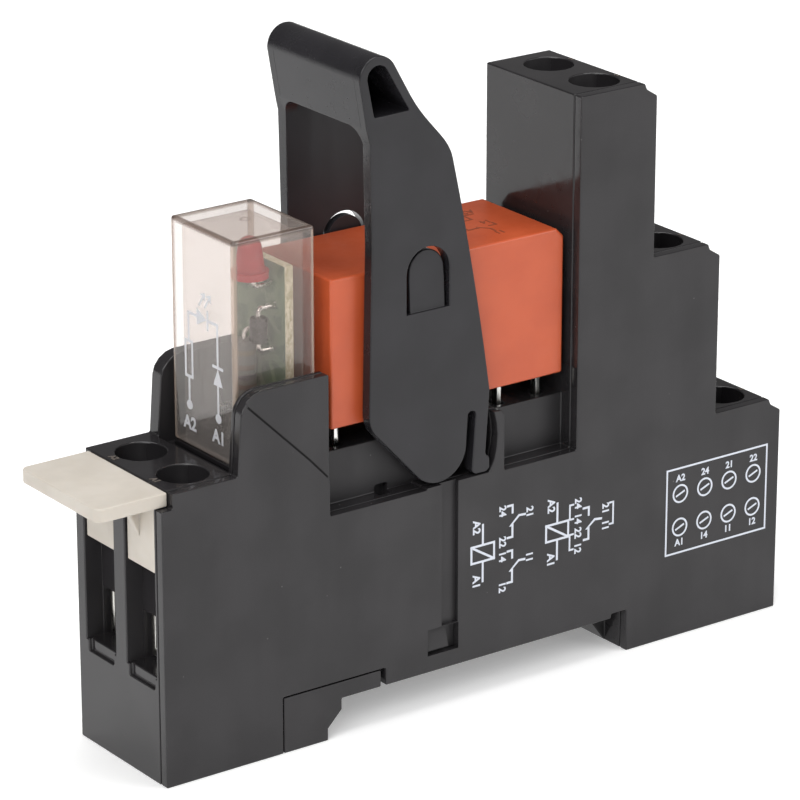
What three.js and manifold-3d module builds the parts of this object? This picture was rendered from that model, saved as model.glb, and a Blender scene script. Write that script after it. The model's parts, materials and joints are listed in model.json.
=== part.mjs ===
// Plug-in relay on a DIN-rail socket with a plug-in indicator module, an ejector lever and a marking tag.
// Units are millimetres. X runs along the socket from the coil end (-X) to the stepped contact end (+X),
// Y runs across its width and Z is up. The origin lies on the rail seat plane, midway between the feet.
import * as THREE from 'three';
import { mergeVertices } from 'three/addons/utils/BufferGeometryUtils.js';
import Module from 'manifold-3d';

const wasm = await Module();
wasm.setup();

// ---------------------------------------------------------------- driving dimensions

const HALF_WIDTH = 7.95; // the socket is 15.9 mm wide
const COVER_INNER_Y = -6.8; // inner face of the side cover, which closes the -Y side
const SEAM = 0.1; // gap between separate mouldings that meet
const THROUGH = 1; // how far a cutter runs past the face that it opens

// heights above the rail seat
const FOOT_Z = -4.2;
const LEDGE_Z = 20.1; // ledge beside the relay bay, where the lever's feet stand
const LEVER_SEAT_Z = 20.3;
const FLOOR_Z = 25.8; // floor under the relay and the module
const LOW_DECK_Z = 26.7; // deck over the coil terminals
const EAR_TOP_Z = 35.0; // ears on both sides of the module
const STEP_DECKS_Z = { low: 20.1, middle: 39.2, high: 58.0 };

// places along the socket
const COIL_END_X = -39.5;
const CONTACT_END_X = 39.1;
const MIDDLE_STEP_X = 30.1;
const TOWER_REAR_X = 21.2;
const TOWER_FRONT_X = 11.38;
const CUP_START_X = -30.64;
const CUP_END_X = -19.7;
const RAIL_GAP_X = 18.45; // half the distance between the feet, for a 35 mm rail
const RAIL_GROOVE_X = 16.4; // the seat plane ends here, under the hook
const RAIL_GROOVE_DEPTH = 0.5;
const POST = { right: 2.06, top: 26.7 }; // a short post beside the lever's foot
const PANEL_Y = 5.25; // half width of the socket's core between the lever's legs
const EAR_INNER_Y = 6.25;
const EAR_STEP = 0.15;
const SIDE_GROOVE = {
  x: [-5.9, -3.85],
  bottom: 4.8,
  depth: 0.5,
  pocket: { x: [-7.65, -3.75], z: [1.85, 4.75], depth: 0.9 }, // a deeper pocket at the groove's lower end
};

// the eight terminals: a lane on each side of the centre plane, four banks
const LANE_Y = { near: -3.75, far: 3.75 };
const SCREW_HOLE_R = 2.6;
const WIRE_HALF = 2.6; // half size of the square wire entry
const RECESS_HALF_Y = 2.7;
const RECESS_WALL = 0.4; // wall left between the recess and the clamp chamber
const SILL = { halfY: 2.3, height: 1.2, depth: 0.4 }; // shallow notch under each wire entry
const CHAMBER_HALF_X = 2.8;
const CHAMBER_HALF_Y = 2.75;
const CHAMBER_BELOW = 2.7;
const CHAMBER_ABOVE = 6.5;
const TAG_RABBET = { width: 1.6, drop: 1.5, step: 0.65, lip: 0.25 };

// cage clamp and its screw; heights count from the middle of the wire entry
const CAGE = { halfX: 2.4, halfY: 2.5, bottom: -2.4, inBottom: -1.6, inTop: 2.55, top: 3.75, inHalfY: 1.8 };
const STRIP_T = 0.8;
const STRIP_MID = 2.0;
const STRIP_HALF_Y = 1.0;
const STRIP_GAP = 0.1;
const SCREW = { tip: 2.45, shankR: 1.45, holeR: 1.58, shank: 4.2, headR: 2.2, head: 1.9, slot: 0.65 };

// contact forks under the pins of the relay and the blades of the module
const FORK = { prong: 0.5, gap: 0.7, bottom: 20.6, base: 0.6, top: 25.2 };
const PIN_SLOT = { halfX: 0.5, halfY: 0.75 };
const RELAY_PIN_X = { coil: -16.3, nc: -0.9, common: 4.1, no: 9.1 };
const MODULE_BLADE_X = -25.0;

// relay case, 29 x 12.7 x 15.7 mm
const RELAY = { x: -3.9, z: 28.42, halfX: 14.5, halfY: 6.35, height: 15.65, wall: 0.8 };
// indicator module
const MODULE = { x: -24.45, z: 25.9, halfX: 4.8, halfY: 5.5, height: 23.9, wall: 0.75, baseTop: 2.8 };
// ejector lever
const LEVER = { pivotX: -6.3, pivotZ: 24.1, footR: 3.5, innerY: 6.6, swingR: 7.45 };
// rail latch, a block on a bending arm in the coil-end foot
const LATCH = { left: -25.45, top: 1.85, armEnd: -13.5, notchEnd: -12.9, lipHalfY: 4.3 };

// ---------------------------------------------------------------- finishes

const FINISH = {
  black: { color: 0x363538, roughness: 0.5, metalness: 0 },
  leverBlack: { color: 0x2b2a2d, roughness: 0.42, metalness: 0 },
  cream: { color: 0xd3c9bd, roughness: 0.55, metalness: 0 },
  orange: { color: 0xd0552f, roughness: 0.35, metalness: 0 },
  smoky: { color: 0xcbbdb4, roughness: 0.15, metalness: 0, transparent: true, opacity: 0.4 },
  board: { color: 0xc9c39a, roughness: 0.7, metalness: 0 },
  red: { color: 0xb01828, roughness: 0.2, metalness: 0 },
  glassDiode: { color: 0x2a2a2c, roughness: 0.3, metalness: 0 },
  resistor: { color: 0x6f8fae, roughness: 0.5, metalness: 0 },
  tinned: { color: 0xc9c7c2, roughness: 0.3, metalness: 1 },
  zinc: { color: 0xb9b7ae, roughness: 0.35, metalness: 1 },
  brass: { color: 0xb8955a, roughness: 0.35, metalness: 1 },
  copper: { color: 0xb4693f, roughness: 0.4, metalness: 1 },
  iron: { color: 0x8b8b8d, roughness: 0.5, metalness: 1 },
  ivory: { color: 0xe2dccb, roughness: 0.5, metalness: 0 },
};

// ---------------------------------------------------------------- solids

function toSolid(geometry) {
  const plain = geometry.index ? geometry.toNonIndexed() : geometry.clone();
  plain.deleteAttribute('normal');
  plain.deleteAttribute('uv');
  const merged = mergeVertices(plain, 1e-4);
  return new wasm.Manifold(new wasm.Mesh({
    numProp: 3,
    vertProperties: merged.attributes.position.array,
    triVerts: merged.index.array,
  }));
}

function toGeometry(solid) {
  const mesh = solid.getMesh();
  const geometry = new THREE.BufferGeometry();
  geometry.setAttribute('position', new THREE.BufferAttribute(mesh.vertProperties, 3));
  geometry.setIndex(new THREE.BufferAttribute(mesh.triVerts, 1));
  geometry.computeVertexNormals();
  return geometry;
}

function span(a, b) {
  return [Math.min(a, b), Math.max(a, b)];
}

function block([x0, x1], [y0, y1], [z0, z1]) {
  const geometry = new THREE.BoxGeometry(x1 - x0, y1 - y0, z1 - z0);
  geometry.translate((x0 + x1) / 2, (y0 + y1) / 2, (z0 + z1) / 2);
  return toSolid(geometry);
}

function outline(points) {
  return new THREE.Shape(points.map(([a, b]) => new THREE.Vector2(a, b)));
}

// an arc may start a rounding error away from the line before it, so such twin points are dropped,
// and every ring is put in counter-clockwise order
function tidyRing(points) {
  const ring = points.filter((point, i) => point.distanceTo(points[(i + 1) % points.length]) > 1e-3);
  return THREE.ShapeUtils.isClockWise(ring) ? ring.reverse() : ring;
}

function extrude(shape, depth, curveSegments) {
  const drawn = shape.extractPoints(curveSegments);
  const clean = new THREE.Shape(tidyRing(drawn.shape));
  clean.holes = drawn.holes.map((hole) => new THREE.Path(tidyRing(hole)));
  return new THREE.ExtrudeGeometry(clean, { depth, bevelEnabled: false });
}

// a side profile drawn in X and Z, given a thickness along Y
function prismY(shape, y0, y1, curveSegments = 5) {
  const geometry = extrude(shape, y1 - y0, curveSegments);
  geometry.rotateX(Math.PI / 2);
  geometry.translate(0, y1, 0);
  return toSolid(geometry);
}

// an end profile drawn in Y and Z, given a length along X
function prismX(shape, x0, x1, curveSegments = 5) {
  const geometry = extrude(shape, x1 - x0, curveSegments);
  geometry.applyMatrix4(new THREE.Matrix4().makeBasis(
    new THREE.Vector3(0, 1, 0),
    new THREE.Vector3(0, 0, 1),
    new THREE.Vector3(1, 0, 0),
  ));
  geometry.translate(x0, 0, 0);
  return toSolid(geometry);
}

// a plan drawn in X and Y, given a height along Z
function prismZ(shape, z0, z1, curveSegments = 4) {
  const geometry = extrude(shape, z1 - z0, curveSegments);
  geometry.translate(0, 0, z0);
  return toSolid(geometry);
}

const TURN_TO = {
  x: (geometry) => geometry.rotateZ(-Math.PI / 2),
  y: (geometry) => geometry,
  z: (geometry) => geometry.rotateX(Math.PI / 2),
};

function rod(axis, [x, y, z], length, radius, segments = 16) {
  const geometry = new THREE.CylinderGeometry(radius, radius, length, segments);
  TURN_TO[axis](geometry);
  geometry.translate(x, y, z);
  return toSolid(geometry);
}

function join(solids) {
  return solids.reduce((sum, solid) => sum.add(solid));
}

function cut(solid, cutters) {
  return solid.subtract(join(cutters));
}

// the outline of a flat bar that follows a path of straight runs, with mitred corners
function ribbon(path, thickness) {
  const sides = [1, -1].map((side) => path.map(([x, z], i) => {
    const before = path[Math.max(i - 1, 0)];
    const after = path[Math.min(i + 1, path.length - 1)];
    const arriving = new THREE.Vector2(x - before[0], z - before[1]).normalize();
    const leaving = new THREE.Vector2(after[0] - x, after[1] - z).normalize();
    const run = arriving.lengthSq() ? arriving : leaving;
    const next = leaving.lengthSq() ? leaving : arriving;
    const mitre = new THREE.Vector2(-run.y - next.y, run.x + next.x);
    const reach = thickness / mitre.lengthSq();
    return [x + side * mitre.x * reach, z + side * mitre.y * reach];
  }));
  return outline([...sides[0], ...sides[1].reverse()]);
}

function lengthened(path, extra) {
  const grow = (end, inner) => {
    const away = new THREE.Vector2(end[0] - inner[0], end[1] - inner[1]).setLength(extra);
    return [end[0] + away.x, end[1] + away.y];
  };
  const last = path.length - 1;
  return [grow(path[0], path[1]), ...path.slice(1, last), grow(path[last], path[last - 1])];
}

// ---------------------------------------------------------------- terminals

// Each bank holds one terminal per lane. `face` is the end face that the wires enter, `into` points
// from that face into the socket, and `pins` are the terminals' numbers in the two lanes.
const BANKS = [
  {
    name: 'coil', pins: ['A1', 'A2'],
    face: COIL_END_X, into: 1, screwX: -34.3, deck: LOW_DECK_Z, wireZ: 9.6,
  },
  {
    name: 'low', pins: ['12', '22'],
    face: CONTACT_END_X, into: -1, screwX: 34.15, deck: STEP_DECKS_Z.low, wireZ: 5.0,
  },
  {
    name: 'middle', pins: ['11', '21'],
    face: MIDDLE_STEP_X, into: -1, screwX: 25.15, deck: STEP_DECKS_Z.middle, wireZ: 25.2,
  },
  {
    name: 'high', pins: ['14', '24'],
    face: TOWER_REAR_X, into: -1, screwX: 16.25, deck: STEP_DECKS_Z.high, wireZ: 44.0,
  },
];
const LANES = [LANE_Y.near, LANE_Y.far];

// route of each bank's contact strip from the clamp to its fork, in X and Z
function stripPaths(bank) {
  const clampZ = bank.wireZ + STRIP_MID;
  const clampEnd = bank.screwX - bank.into * 2.2;
  const routes = {
    coil: [[[clampEnd, clampZ], [RELAY_PIN_X.coil, clampZ], [RELAY_PIN_X.coil, FORK.bottom]],
      [[MODULE_BLADE_X, clampZ], [MODULE_BLADE_X, FORK.bottom]]],
    low: [[[clampEnd, clampZ], [RELAY_PIN_X.nc, clampZ], [RELAY_PIN_X.nc, FORK.bottom]]],
    middle: [[[clampEnd, clampZ], [20.6, clampZ], [20.6, 15.6], [RELAY_PIN_X.common, 15.6],
      [RELAY_PIN_X.common, FORK.bottom]]],
    high: [[[clampEnd, clampZ], [12.4, clampZ], [12.4, 18.6], [RELAY_PIN_X.no, 18.6],
      [RELAY_PIN_X.no, FORK.bottom]]],
  };
  return routes[bank.name];
}

function fork(x, y) {
  const outer = FORK.gap / 2 + FORK.prong;
  const yRange = [y - STRIP_HALF_Y, y + STRIP_HALF_Y];
  const cup = block([x - outer, x + outer], yRange, [FORK.bottom, FORK.top]);
  const throat = block(
    [x - FORK.gap / 2, x + FORK.gap / 2],
    [yRange[0] - THROUGH, yRange[1] + THROUGH],
    [FORK.bottom + FORK.base, FORK.top + THROUGH],
  );
  return cut(cup, [throat]);
}

function contactStrip(bank, y) {
  const bars = stripPaths(bank).map((path) => {
    const [endX, endZ] = path[path.length - 1];
    const reachingFork = [...path.slice(0, -1), [endX, endZ + FORK.base / 2]];
    return prismY(ribbon(reachingFork, STRIP_T), y - STRIP_HALF_Y, y + STRIP_HALF_Y);
  });
  const forks = stripPaths(bank).map((path) => fork(path[path.length - 1][0], y));
  return join([...bars, ...forks]);
}

// the hollow for one contact strip, and the slots in the floor over its forks
function stripHollow(bank, y) {
  const half = STRIP_HALF_Y + STRIP_GAP;
  const outer = FORK.gap / 2 + FORK.prong + STRIP_GAP;
  return join(stripPaths(bank).flatMap((path) => {
    const forkX = path[path.length - 1][0];
    return [
      prismY(ribbon(lengthened(path, STRIP_GAP), STRIP_T + 2 * STRIP_GAP), y - half, y + half),
      block(
        [forkX - outer, forkX + outer],
        [y - half, y + half],
        [FORK.bottom - STRIP_GAP, FORK.top + STRIP_GAP],
      ),
      block(
        [forkX - PIN_SLOT.halfX, forkX + PIN_SLOT.halfX],
        [y - PIN_SLOT.halfY, y + PIN_SLOT.halfY],
        [FORK.top, FLOOR_Z + THROUGH],
      ),
    ];
  }));
}

// screw hole, clamp chamber, wire entry and the shallow recess in the end face
function terminalHollow(bank, y) {
  const { face, into, screwX, deck, wireZ } = bank;
  const chamberFace = screwX - into * CHAMBER_HALF_X;
  const recessFront = face - into * THROUGH;
  const holeTop = deck + THROUGH;
  const holeBottom = wireZ + CHAMBER_ABOVE - STRIP_GAP;
  return join([
    rod('z', [screwX, y, (holeTop + holeBottom) / 2], holeTop - holeBottom, SCREW_HOLE_R, 20),
    block(
      [screwX - CHAMBER_HALF_X, screwX + CHAMBER_HALF_X],
      [y - CHAMBER_HALF_Y, y + CHAMBER_HALF_Y],
      [wireZ - CHAMBER_BELOW, wireZ + CHAMBER_ABOVE],
    ),
    block(
      span(recessFront, chamberFace + into * STRIP_GAP),
      [y - WIRE_HALF, y + WIRE_HALF],
      [wireZ - WIRE_HALF, wireZ + WIRE_HALF],
    ),
    block(
      span(recessFront, chamberFace - into * RECESS_WALL),
      [y - RECESS_HALF_Y, y + RECESS_HALF_Y],
      [wireZ - WIRE_HALF, deck - TAG_RABBET.drop],
    ),
    block(
      span(recessFront, face + into * SILL.depth),
      [y - SILL.halfY, y + SILL.halfY],
      [wireZ - WIRE_HALF - SILL.height, wireZ - WIRE_HALF + STRIP_GAP],
    ),
  ]);
}

// ---------------------------------------------------------------- socket mouldings

// deck edge, tag rabbet and rear face of one step, from the deck down to `bottom`
function stepEdge(face, deck, bottom) {
  const { width, drop, step, lip } = TAG_RABBET;
  return [[face, bottom], [face, deck - drop], [face - width + lip, deck - step], [face - width, deck]];
}

function arcPoints([cx, cz], radius, fromDegrees, toDegrees, steps) {
  return Array.from({ length: steps + 1 }, (_, i) => {
    const angle = THREE.MathUtils.degToRad(fromDegrees + ((toDegrees - fromDegrees) * i) / steps);
    return [cx + radius * Math.cos(angle), cz + radius * Math.sin(angle)];
  });
}

function degreesToHeight(height) {
  return THREE.MathUtils.radToDeg(Math.asin((height - LEVER.pivotZ) / LEVER.swingR));
}

// the coil-end foot's inner edge, which the rail latch shares
const COIL_FOOT_EDGE = [[-20.15, FOOT_Z], [-20.15, -2.86], [-RAIL_GAP_X, -1.15], [-RAIL_GAP_X, 0]];

// the socket seen from its side; the bay between the cup and the tower is cut down to the ledge,
// and the post's inner face follows the sweep of the lever's finger
function socketOutline() {
  const pivot = [LEVER.pivotX, LEVER.pivotZ];
  const sweep = arcPoints(pivot, LEVER.swingR, degreesToHeight(POST.top), degreesToHeight(LEVER_SEAT_Z), 5);
  return outline([
    [COIL_END_X, FOOT_Z], ...COIL_FOOT_EDGE,
    [RAIL_GAP_X, 0], [RAIL_GAP_X, FOOT_Z], [CONTACT_END_X, FOOT_Z],
    ...stepEdge(CONTACT_END_X, STEP_DECKS_Z.low, STEP_DECKS_Z.low - 4),
    ...stepEdge(MIDDLE_STEP_X, STEP_DECKS_Z.middle, STEP_DECKS_Z.low),
    ...stepEdge(TOWER_REAR_X, STEP_DECKS_Z.high, STEP_DECKS_Z.middle),
    [TOWER_FRONT_X, STEP_DECKS_Z.high], [TOWER_FRONT_X, LEDGE_Z],
    [POST.right, LEDGE_Z], [POST.right, POST.top - 0.5], [POST.right - 0.5, POST.top],
    ...sweep,
    [-7.75, LEVER_SEAT_Z], [-7.75, LEDGE_Z], [CUP_END_X, LEDGE_Z],
    [CUP_END_X, EAR_TOP_Z], [-27.8, EAR_TOP_Z], [-28.6, 34.8], [-29.4, 34.3], [-29.95, 33.6], [-30.2, 32.8],
    [CUP_START_X, LOW_DECK_Z], [-38.2, LOW_DECK_Z], [-38.2, 25.1], [COIL_END_X, 25.1],
  ]);
}

// room for the rail latch in the coil-end foot
function latchRoom() {
  return block(
    [LATCH.left - SEAM, LATCH.notchEnd],
    [-HALF_WIDTH - THROUGH, HALF_WIDTH + THROUGH],
    [FOOT_Z - THROUGH, LATCH.top + SEAM],
  );
}

// the groove beside the contact-end foot, where the rail's edge hooks in
function railGroove(y0, y1) {
  return block([RAIL_GROOVE_X, RAIL_GAP_X], [y0, y1], [-THROUGH, RAIL_GROOVE_DEPTH]);
}

// a shallow upright groove in a side face, under the lever's foot
function sideGroove(y0, y1) {
  return block(SIDE_GROOVE.x, [y0, y1], [SIDE_GROOVE.bottom, LEVER_SEAT_Z + THROUGH]);
}

// a wedge that holds one edge of the rail; it reaches from the foot at `footX` to `tipX`
function railHook(footX, tipX, bottomZ) {
  const rootX = footX + Math.sign(footX) * 0.5;
  return prismY(
    outline([[rootX, bottomZ], [footX, bottomZ], [tipX, -1.7], [tipX, -1.25], [rootX, -1.25]]),
    -LATCH.lipHalfY,
    LATCH.lipHalfY,
  );
}

const PEG_PLACES = [[-29, 2], [-22, 18], [8, 10], [35.5, -1], [22.5, 35.5]];
const PEG = { radius: 0.8, length: 1.6 };

function socketHousing() {
  const shell = prismY(socketOutline(), COVER_INNER_Y + SEAM / 2, HALF_WIDTH);
  const core = block([CUP_END_X - 0.5, TOWER_FRONT_X + 0.5], [-PANEL_Y, PANEL_Y], [10, FLOOR_Z]);
  const hook = railHook(RAIL_GAP_X, 16.6, FOOT_Z);
  const ledgeSlot = (y) => block([-12.3, -10.8], [y - 0.8, y + 0.8], [18.5, LEDGE_Z + 0.7]);
  const pivotHole = (y) => rod('y', [LEVER.pivotX, y, LEVER.pivotZ], 2.4, 1.15);
  const cutters = [
    block([CUP_START_X, CUP_END_X + THROUGH], [-EAR_INNER_Y, EAR_INNER_Y], [FLOOR_Z, EAR_TOP_Z + THROUGH]),
    railGroove(-HALF_WIDTH, HALF_WIDTH + THROUGH),
    latchRoom(),
    sideGroove(HALF_WIDTH - SIDE_GROOVE.depth, HALF_WIDTH + THROUGH),
    ...[-PANEL_Y, PANEL_Y].flatMap((y) => [ledgeSlot(y), pivotHole(y)]),
    ...BANKS.flatMap((bank) => LANES.flatMap((y) => [terminalHollow(bank, y), stripHollow(bank, y)])),
    ...PEG_PLACES.map(([x, z]) => rod('y', [x, COVER_INNER_Y + 0.85, z], 2, PEG.radius + SEAM, 12)),
  ];
  return cut(join([shell, core]), cutters).add(hook);
}

function sideCover() {
  const plate = prismY(socketOutline(), -HALF_WIDTH, COVER_INNER_Y - SEAM / 2);
  const outside = -HALF_WIDTH - THROUGH;
  const { pocket } = SIDE_GROOVE;
  const cutters = [
    latchRoom(),
    railGroove(outside, COVER_INNER_Y + THROUGH),
    sideGroove(outside, -HALF_WIDTH + SIDE_GROOVE.depth),
    block(pocket.x, [outside, -HALF_WIDTH + pocket.depth], pocket.z),
    // the upper part of the ear is a hair lower than its corner, along a slanting crease
    prismY(
      outline([[-29.5, 33.7], [-22.1, 26.5], [-19, 23.2], [-19, 36], [-29.5, 36]]),
      outside,
      -HALF_WIDTH + EAR_STEP,
    ),
  ];
  const wedge = prismX(outline([[-7.06, 4.55], [-7.0, 2.3], [-7.75, 2.3]]), -7.6, -4.9);
  const pegY = COVER_INNER_Y + PEG.length / 2 - 0.3;
  const pegs = PEG_PLACES.map(([x, z]) => rod('y', [x, pegY, z], PEG.length, PEG.radius, 12));
  return join([cut(plate, cutters), wedge, ...pegs]);
}

function railLatch() {
  const profile = outline([
    [LATCH.left, FOOT_Z], ...COIL_FOOT_EDGE,
    [LATCH.armEnd, 0], [LATCH.armEnd, LATCH.top], [LATCH.left, LATCH.top],
  ]);
  return prismY(profile, -HALF_WIDTH, HALF_WIDTH).add(railHook(-RAIL_GAP_X, -16.9, -3.4));
}

// ---------------------------------------------------------------- terminal metalwork

// origin in the middle of the wire entry, under the screw
function clampCage() {
  const body = block([-CAGE.halfX, CAGE.halfX], [-CAGE.halfY, CAGE.halfY], [CAGE.bottom, CAGE.top]);
  return cut(body, [
    block(
      [-CAGE.halfX - THROUGH, CAGE.halfX + THROUGH],
      [-CAGE.inHalfY, CAGE.inHalfY],
      [CAGE.inBottom, CAGE.inTop],
    ),
    rod('z', [0, 0, CAGE.top], 3, SCREW.holeR, 12),
  ]);
}

// origin at the tip
function terminalScrew() {
  const top = SCREW.shank + SCREW.head;
  const profile = [
    [0, 0], [1.1, 0], [SCREW.shankR, 0.35], [SCREW.shankR, SCREW.shank], [SCREW.headR, SCREW.shank],
    [SCREW.headR, top - 0.3], [SCREW.headR - 0.3, top], [0, top],
  ];
  const turned = new THREE.LatheGeometry(profile.map(([r, z]) => new THREE.Vector2(r, z)), 12);
  turned.rotateX(Math.PI / 2);
  const half = SCREW.slot / 2;
  return cut(toSolid(turned), [
    block([-3, 3], [-half, half], [top - 0.9, top + THROUGH]),
    block([-half, half], [-1.3, 1.3], [top - 0.9, top + THROUGH]),
  ]);
}

// ---------------------------------------------------------------- ejector lever

const GRIP_SLIT = { x: -7.65, bottom: 39.24, archZ: 43.3, outerR: 2.61, innerR: 2.2 };
const BAR_ARC_END = THREE.MathUtils.degToRad(30); // the rounded top of the bar runs into its rear slope here

function leverLegOutline() {
  const { pivotX, pivotZ, footR } = LEVER;
  const shape = new THREE.Shape();
  shape.moveTo(-14.85, 29.6);
  shape.lineTo(-14.5, 47);
  shape.lineTo(-14.65, 57.5);
  shape.lineTo(-15.1, 59.2);
  shape.lineTo(-15.95, 64.1);
  shape.absarc(-13.7, 64.1, 2.25, Math.PI, BAR_ARC_END, true);
  shape.lineTo(-9.0, 60.4);
  shape.lineTo(-5.55, 56.5);
  shape.quadraticCurveTo(-4.95, 55.7, -4.65, 54.6);
  shape.quadraticCurveTo(-1.8, 42.2, 0.1, 29.3);
  shape.lineTo(-0.38, 22.4);
  shape.lineTo(0.13, 21.9);
  shape.lineTo(0.15, 20.9);
  shape.lineTo(-0.3, 20.45);
  shape.lineTo(-1.75, 20.45);
  shape.lineTo(-2.1, 21.0);
  shape.lineTo(-1.7, 26.6);
  shape.lineTo(-1.95, 27.3);
  shape.lineTo(-2.45, 27.4);
  shape.lineTo(-2.75, 26.9);
  shape.absarc(pivotX, pivotZ, footR, 0.085, THREE.MathUtils.degToRad(-136.7), true);
  shape.lineTo(-14.2, 27.5);
  shape.quadraticCurveTo(-14.85, 28.3, -14.85, 29.6);
  shape.holes.push(gripWindow());
  return shape;
}

// an arched slit that leaves a springy tongue in the leg, rooted at its lower end
function gripWindow() {
  const { x, bottom, archZ, outerR, innerR } = GRIP_SLIT;
  const hole = new THREE.Path();
  hole.moveTo(x - outerR, bottom);
  hole.lineTo(x - outerR, archZ);
  hole.absarc(x, archZ, outerR, Math.PI, 0, true);
  hole.lineTo(x + outerR, bottom);
  hole.lineTo(x + innerR, bottom);
  hole.lineTo(x + innerR, archZ);
  hole.absarc(x, archZ, innerR, 0, Math.PI, false);
  hole.lineTo(x - innerR, bottom);
  return hole;
}

function leverBarOutline() {
  const shape = new THREE.Shape();
  shape.moveTo(-15.05, 59.0);
  shape.lineTo(-15.95, 64.1);
  shape.absarc(-13.7, 64.1, 2.25, Math.PI, BAR_ARC_END, true);
  shape.lineTo(-9.0, 60.4);
  shape.lineTo(-8.4, 59.65);
  shape.lineTo(-8.3, 59.0);
  return shape;
}

function leverBarHollow() {
  const shape = new THREE.Shape();
  shape.moveTo(-14.15, 60.25);
  shape.lineTo(-14.95, 64.15);
  shape.absarc(-13.7, 64.15, 1.25, Math.PI, 0.5, true);
  shape.lineTo(-10.0, 60.35);
  return shape;
}

function ejectorLever() {
  const leg = leverLegOutline();
  const sides = [-1, 1].flatMap((side) => {
    const [y0, y1] = span(side * LEVER.innerY, side * HALF_WIDTH);
    const inward = side * (LEVER.innerY - 0.95);
    return [
      prismY(leg, y0, y1, 6),
      rod('y', [LEVER.pivotX, side * (LEVER.innerY - 0.75), LEVER.pivotZ], 3, 1.0),
      // the cam that lifts the relay case as the lever swings
      rod('y', [-0.8, inward + side * 0.5, 27.7], 1.6, 0.5, 12),
    ];
  });
  const bar = prismY(leverBarOutline(), -LEVER.innerY - 0.5, LEVER.innerY + 0.5, 6);
  const hollow = prismY(leverBarHollow(), -HALF_WIDTH - THROUGH, HALF_WIDTH + THROUGH, 5);
  return cut(join([...sides, bar]), [hollow]);
}

// ---------------------------------------------------------------- marking tag

function markingTag() {
  const corner = 0.8;
  const [front, back, half] = [-46.3, -38.3, 7.1];
  const plan = new THREE.Shape();
  plan.moveTo(back, -half);
  plan.lineTo(back, half);
  plan.lineTo(front + corner, half);
  plan.absarc(front + corner, half - corner, corner, Math.PI / 2, Math.PI, false);
  plan.lineTo(front, -half + corner);
  plan.absarc(front + corner, -half + corner, corner, Math.PI, Math.PI * 1.5, false);
  const plate = prismZ(plan, 25.2, 26.65);
  const prongs = LANES.flatMap((y) => [
    block([-39.3, -38.3], [y - 2.5, y + 2.5], [18.1, 25.4]),
    prismY(outline([[-39.4, 25.4], [-41.5, 25.4], [-41.5, 25.2], [-39.2, 22.9]]), y + 1.2, y + 2.0),
  ]);
  return join([plate, ...prongs]);
}

// ---------------------------------------------------------------- indicator module
// Its own frame has X and Y on the module's centre and Z at the underside of the base.

const BOARD = { x0: 1.9, x1: 2.9, halfY: 4.5, bottom: 1.5, top: 19.9 };
const PARTS_X = -0.3; // line of the small parts in front of the board
const PARTS_REACH = BOARD.x0 - SEAM - PARTS_X; // from that line to the board's face
const LAMP = { y: -1.7, z: 18.6, height: 4.2 };

function moduleCover() {
  const { halfX, halfY, height, wall } = MODULE;
  const outer = block([-halfX, halfX], [-halfY, halfY], [0.6, height]);
  const inner = block([-halfX + wall, halfX - wall], [-halfY + wall, halfY - wall], [0, height - wall]);
  return cut(outer, [inner]);
}

function moduleBase() {
  const { halfX, halfY, wall, baseTop } = MODULE;
  const gap = wall + SEAM;
  const plug = block([-halfX + gap, halfX - gap], [-halfY + gap, halfY - gap], [0.3, baseTop]);
  const flange = block([-halfX, halfX], [-halfY, halfY], [0, 0.5]);
  const boardSlot = block(
    [BOARD.x0 - SEAM, BOARD.x1 + SEAM],
    [-BOARD.halfY - SEAM, BOARD.halfY + SEAM],
    [BOARD.bottom - SEAM, baseTop + THROUGH],
  );
  const bladeSlots = LANES.map((y) => block(
    [-0.95, -0.15],
    [y - 1.0, y + 1.0],
    [-THROUGH, baseTop + THROUGH],
  ));
  return cut(plug.add(flange), [boardSlot, ...bladeSlots]);
}

function moduleBoard() {
  return block([BOARD.x0, BOARD.x1], [-BOARD.halfY, BOARD.halfY], [BOARD.bottom, BOARD.top]);
}

// a flat blade through the base, with a shorter tail up to the board's face
function moduleBlade(y) {
  const x = MODULE_BLADE_X - MODULE.x;
  return join([
    block([x - 0.25, x + 0.25], [y - 0.5, y + 0.5], [-3.4, 3.6]),
    block([x - 0.25, BOARD.x0 - SEAM], [y - 0.5, y + 0.5], [3.2, 3.6]),
  ]);
}

// an upright round lamp with a flange at its foot and two leads bent to the board
function indicatorLamp() {
  const { height } = LAMP;
  const profile = [
    [0, 0], [1.9, 0], [1.9, 0.7], [1.5, 0.7], [1.5, height - 1.3],
    [1.3, height - 0.6], [0.75, height - 0.15], [0, height],
  ];
  const dome = new THREE.LatheGeometry(profile.map(([r, h]) => new THREE.Vector2(r, h)), 16);
  dome.rotateX(Math.PI / 2);
  const lead = 0.22;
  const bendZ = -0.9;
  const legs = [-0.65, 0.65].flatMap((y) => [
    block([-lead, lead], [y - lead, y + lead], [bendZ - lead, 0.2]),
    block([-lead, PARTS_REACH], [y - lead, y + lead], [bendZ - lead, bendZ + lead]),
  ]);
  return join([toSolid(dome), ...legs]);
}

// a small axial part: round body along Z with a lead bent to the board at each end
function axialPart(radius, length) {
  const half = length / 2;
  const lead = 0.25;
  const parts = [rod('z', [0, 0, 0], length, radius, 12)];
  [-1, 1].forEach((side) => {
    const bendZ = side * (half + 0.9);
    parts.push(block([-lead, lead], [-lead, lead], span(side * (half - 0.2), side * (half + 1.1))));
    parts.push(block([-lead, PARTS_REACH], [-lead, lead], [bendZ - lead, bendZ + lead]));
  });
  return join(parts);
}

// ---------------------------------------------------------------- relay
// Its own frame has X and Y on the case's centre and Z at the underside of the case.

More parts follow.
